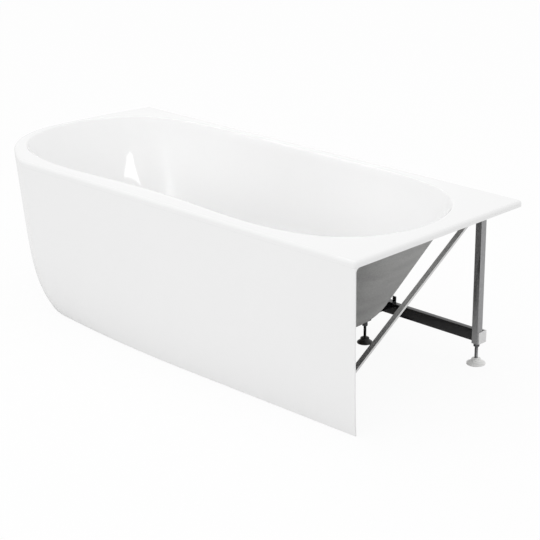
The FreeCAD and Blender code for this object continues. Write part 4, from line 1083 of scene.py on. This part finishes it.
def foot_pad(node):
    """Turned pad that fills the box of its solid and leaves the rod's socket open."""
    low, high = (np.array(corner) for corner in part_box(node))
    rod_low, rod_high = (np.array(corner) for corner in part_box(node.replace("pad_", "rod_")))
    centre = (low + high) / 2
    edge = (high[0] - low[0]) / 2
    socket = (rod_high[0] - rod_low[0]) / 2 + SOCKET_PLAY
    top = high[2]
    profile = softened([
        (edge * 0.5, 0, 0), (edge, 0, 0.8 * MM), (edge, PAD_RIM, 1.5 * MM), (BOSS, BOSS_FOOT, 1.2 * MM),
        (BOSS, top - COLLAR_HEIGHT, 1.2 * MM), (COLLAR, top - COLLAR_HEIGHT, 0.6 * MM),
        (COLLAR, top, 0.8 * MM), (socket, top, 0.3 * MM), (socket, SOCKET_FLOOR, 0.3 * MM),
        (socket * 0.5, SOCKET_FLOOR, 0)])
    round_body(node + "_turned", profile[:, :1], profile[:, 1:], centre, node, node)


pads = [node for node in nodes if node.startswith("pad_")]
for node in pads:
    foot_pad(node)
print("pads:", len(pads))

# %% [markdown]
# ### Threaded rods
#
# The feet are set by turning their rods, so a real thread belongs on them.  A bump could only draw it,
# and its outline would stay straight.  Here the radius of each point falls and rises with its height
# above a helix: no depth at the crest, full depth half a pitch further on.  Close to both ends the radius
# also shrinks towards the end, which is the usual chamfer.

# %% Rods
THREAD_DEPTH = 0.61
ROWS_PER_TURN, ROD_STEPS = 8, 28
PITCHES = {"white_pad": 1.75 * MM, "black_plastic": 1.5 * MM}


def threaded_rod(node, pitch):
    """Rod whose radius is the solid's at the crest, less THREAD_DEPTH pitches in the groove."""
    low, high = (np.array(corner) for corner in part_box(node))
    centre = (low + high) / 2
    crest = (high[0] - low[0]) / 2
    count = int((high[2] - low[2]) / pitch * ROWS_PER_TURN) + 1
    height = np.linspace(low[2], high[2], count)[:, None]
    angle = np.linspace(0, 2 * np.pi, ROD_STEPS, endpoint=False)[None]
    phase = ((height - low[2]) / pitch - angle / (2 * np.pi)) % 1.0
    groove = 1 - np.abs(2 * phase - 1)
    from_end = np.minimum(height - low[2], high[2] - height)
    radius = np.minimum(crest - THREAD_DEPTH * pitch * groove, crest - pitch / 2 + from_end)
    round_body(node + "_thread", radius, height, centre, node, node, ROD_STEPS)


for node in pads:
    threaded_rod(node.replace("pad_", "rod_"), PITCHES[slots[node]])
print("rod pitches: %s mm" % ", ".join("%.2f" % (pitch / MM) for pitch in PITCHES.values()))

# %% [markdown]
# ### Plug
#
# The waste is closed by a polished disc that clicks up and down.  A flat disc would mirror one spot of the
# room and look like a hole, and a real one is slightly domed.  The profile is turned in finer steps than
# the pads, because its rim is larger and shinier.

# %% Plug
STEM, STEM_BORE = 5 * MM, 2 * MM
DISC = 4 * MM
PLUG_STEPS = 96


def waste_plug():
    """Polished click plug: slightly domed disc with a rounded edge on a plain stem."""
    low, high = (np.array(corner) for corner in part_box("waste_plug"))
    edge = (high[0] - low[0]) / 2
    under = high[2] - DISC
    profile = softened([
        (STEM_BORE, low[2], 0), (STEM, low[2], 0.5 * MM), (STEM, under, 0.5 * MM),
        (edge, under, 0.6 * MM), (edge, high[2] - 1 * MM, 1 * MM), (edge * 0.5, high[2], 4 * MM),
        (4 * MM, high[2], 0)])
    round_body("plug_turned", profile[:, :1], profile[:, 1:], (low + high) / 2, "waste_plug", "plug",
               PLUG_STEPS)


waste_plug()

# %% [markdown]
# ## Which rays see the background
#
# The photograph is a cut-out on white.  A stronger lamp could bleach the background, but it would bleach
# the bath as well.  Blender can tell the rays apart instead: those that come from the camera, those that
# come off something glossy or through something clear, and those that only carry light.  The helper turns
# them into one value, and the floor and the world both use it.

# %% Rays that see the background
def weighted_rays(tree, camera, mirrored):
    """One value for rays from the camera, another for mirrored or transmitted ones, 0 for all others."""
    path = tree.nodes.new("ShaderNodeLightPath")
    total = None
    for name, weight in (("Is Glossy Ray", mirrored), ("Is Transmission Ray", mirrored),
                         ("Is Camera Ray", camera)):
        share = tree.nodes.new("ShaderNodeMath")
        share.operation = "MULTIPLY"
        share.inputs[1].default_value = weight
        tree.links.new(path.outputs[name], share.inputs[0])
        if total is not None:
            either = tree.nodes.new("ShaderNodeMath")
            either.operation = "MAXIMUM"
            tree.links.new(total, either.inputs[0])
            tree.links.new(share.outputs["Value"], either.inputs[1])
            share = either
        total = share.outputs["Value"]
    return total


WHITE_TO_CAMERA, WHITE_IN_MIRRORS = 0.93, 0.15
print("white floor: %.2f towards the camera, %.2f in mirrors" % (WHITE_TO_CAMERA, WHITE_IN_MIRRORS))

# %% [markdown]
# ## Floor
#
# The floor stands for the white table or paper under a catalogue object.  A floor that is white light all
# through would have no shadow, and the bath would float.  So it is a plain white surface for all the light
# that bounces from it, and towards the camera most of it is replaced by pure white, which leaves a faint
# shadow.  In what metal mirrors, less of it is replaced: bright steel under the bath mirrors the shade.

# %% Floor
FLOOR_REACH, BELOW_FEET = 8.0, 0.0005


def make_floor():
    """Wide white floor just under the feet, mostly replaced by pure white where it is looked at."""
    half = FLOOR_REACH
    mesh = bpy.data.meshes.new("floor")
    mesh.from_pydata([(-half, -half, 0), (half, -half, 0), (half, half, 0), (-half, half, 0)], [],
                     [(0, 1, 2, 3)])
    floor = bpy.data.objects.new("floor", mesh)
    floor.location = (0, 0, -BELOW_FEET)
    bpy.context.scene.collection.objects.link(floor)
    material, tree, shader = new_material("white_floor", (0.90, 0.90, 0.90), 0.9)
    shader.inputs["Specular IOR Level"].default_value = 0.0
    white = tree.nodes.new("ShaderNodeEmission")
    mix = tree.nodes.new("ShaderNodeMixShader")
    output = tree.nodes["Material Output"]
    tree.links.new(weighted_rays(tree, WHITE_TO_CAMERA, WHITE_IN_MIRRORS), mix.inputs["Fac"])
    tree.links.new(shader.outputs["BSDF"], mix.inputs[1])
    tree.links.new(white.outputs["Emission"], mix.inputs[2])
    tree.links.new(mix.outputs["Shader"], output.inputs["Surface"])
    mesh.materials.append(material)
    return floor


floor = make_floor()
print("floor: %.0f m wide" % (2 * FLOOR_REACH))

# %% [markdown]
# ## Lamps
#
# White acrylic clips quickly, so the light is soft and low: a wide lamp in front and a wider one above.
# Most of the light comes from the world, two steps further on, and the lamps give it a direction.  In the
# photograph the inside of the basin is nearly as bright as the deck, while even light leaves it darker.
# So a weak, narrow lamp high in front shines into it.  It is hidden from mirror rays, where it would show
# as a bright bar.

# %% Lamps
def soft_lamp(name, place, target, width, height, power, spread=180):
    """Rectangular lamp that faces a point, with the spread in degrees that its grid leaves."""
    data = bpy.data.lights.new(name, "AREA")
    data.shape = "RECTANGLE"
    data.size = width
    data.size_y = height
    data.energy = power
    data.spread = math.radians(spread)
    lamp = bpy.data.objects.new(name, data)
    lamp.location = place
    direction = Vector(target) - Vector(place)
    lamp.rotation_euler = direction.to_track_quat("-Z", "Y").to_euler()
    bpy.context.scene.collection.objects.link(lamp)
    return lamp


front_lamp = soft_lamp("front", (0.2, -3.6, 1.9), (-0.3, 0, 0.3), width=2.4, height=1.6, power=12)
ceiling_lamp = soft_lamp("ceiling", (0.0, 0.2, 3.4), (0, 0, 0), width=3.0, height=1.6, power=16)
basin_lamp = soft_lamp("basin", (-0.1, -2.3, 2.25), (-0.1, 0.3, 0.45), width=1.3, height=0.15, power=0.14,
                       spread=12)
basin_lamp.visible_glossy = False
for lamp in (front_lamp, ceiling_lamp, basin_lamp):
    print("lamp %s: %.2f W" % (lamp.name, lamp.data.energy))

# %% [markdown]
# ## Windows in the reflections
#
# Two bright slivers show on the rounded end of the basin, probably windows that the acrylic mirrors.
# Painting them on would be wrong from any other side.  Real reflections come from real things, so two
# small bright panels stand in the room where the acrylic mirrors them towards the camera.  They are
# hidden from the camera and from matt surfaces, and throw no shadow.

# %% Mirrored panels
def mirrored_panel(name, centre, facing, corners, strength):
    """Bright triangle that only shows as a reflection.

    Its corners are given as (across, up) in metres, in the plane at its centre that faces along the
    direction.
    """
    facing = Vector(facing).normalized()
    across = Vector((0, 0, 1)).cross(facing).normalized()
    up = facing.cross(across)
    mesh = bpy.data.meshes.new(name)
    points = [Vector(centre) + across * side + up * height for side, height in corners]
    mesh.from_pydata(points, [], [tuple(range(len(points)))])
    panel = bpy.data.objects.new(name, mesh)
    bpy.context.scene.collection.objects.link(panel)
    material = bpy.data.materials.new(name)
    material.use_nodes = True
    tree = material.node_tree
    glow = tree.nodes.new("ShaderNodeEmission")
    glow.inputs["Strength"].default_value = strength
    tree.links.new(glow.outputs["Emission"], tree.nodes["Material Output"].inputs["Surface"])
    mesh.materials.append(material)
    panel.visible_camera = False
    panel.visible_diffuse = False
    panel.visible_shadow = False
    print("panel %s: strength %.1f" % (name, strength))


mirrored_panel("window_left", centre=(0.826, -0.773, 2.252), facing=(0.588, -0.366, 0.721),
               corners=[(-0.19, 0.075), (0.56, 0.045), (-0.35, -0.136)], strength=6.0)
mirrored_panel("window_right", centre=(-0.663, -2.036, 1.567), facing=(-0.036, -0.878, 0.477),
               corners=[(-0.125, 0.05), (0.27, 0.104), (-0.094, -0.14)], strength=3.4)

# %% [markdown]
# ## World
#
# A studio's white walls light the bath from all sides, and the world takes their place.  Where it is seen
# or mirrored it is pure white, as the photograph's background is.  For everything that it lights it is a
# little darker, because at full strength the pale deck would clip.  The view transform is Standard, so
# that a colour comes out about as it is written.

# %% World
WORLD_LEVEL = 0.86


def make_world():
    """White where it is seen or mirrored, a plain level for everything that it lights."""
    world = bpy.data.worlds.new("studio")
    world.use_nodes = True
    tree = world.node_tree
    background = tree.nodes["Background"]
    seen = weighted_rays(tree, 1.0, 1.0)
    tree.links.new(vary(tree, seen, WORLD_LEVEL, 1.0), background.inputs["Strength"])
    background.inputs["Color"].default_value = (1, 1, 1, 1)
    bpy.context.scene.world = world


make_world()
bpy.context.scene.view_settings.view_transform = "Standard"
print("world level", WORLD_LEVEL)
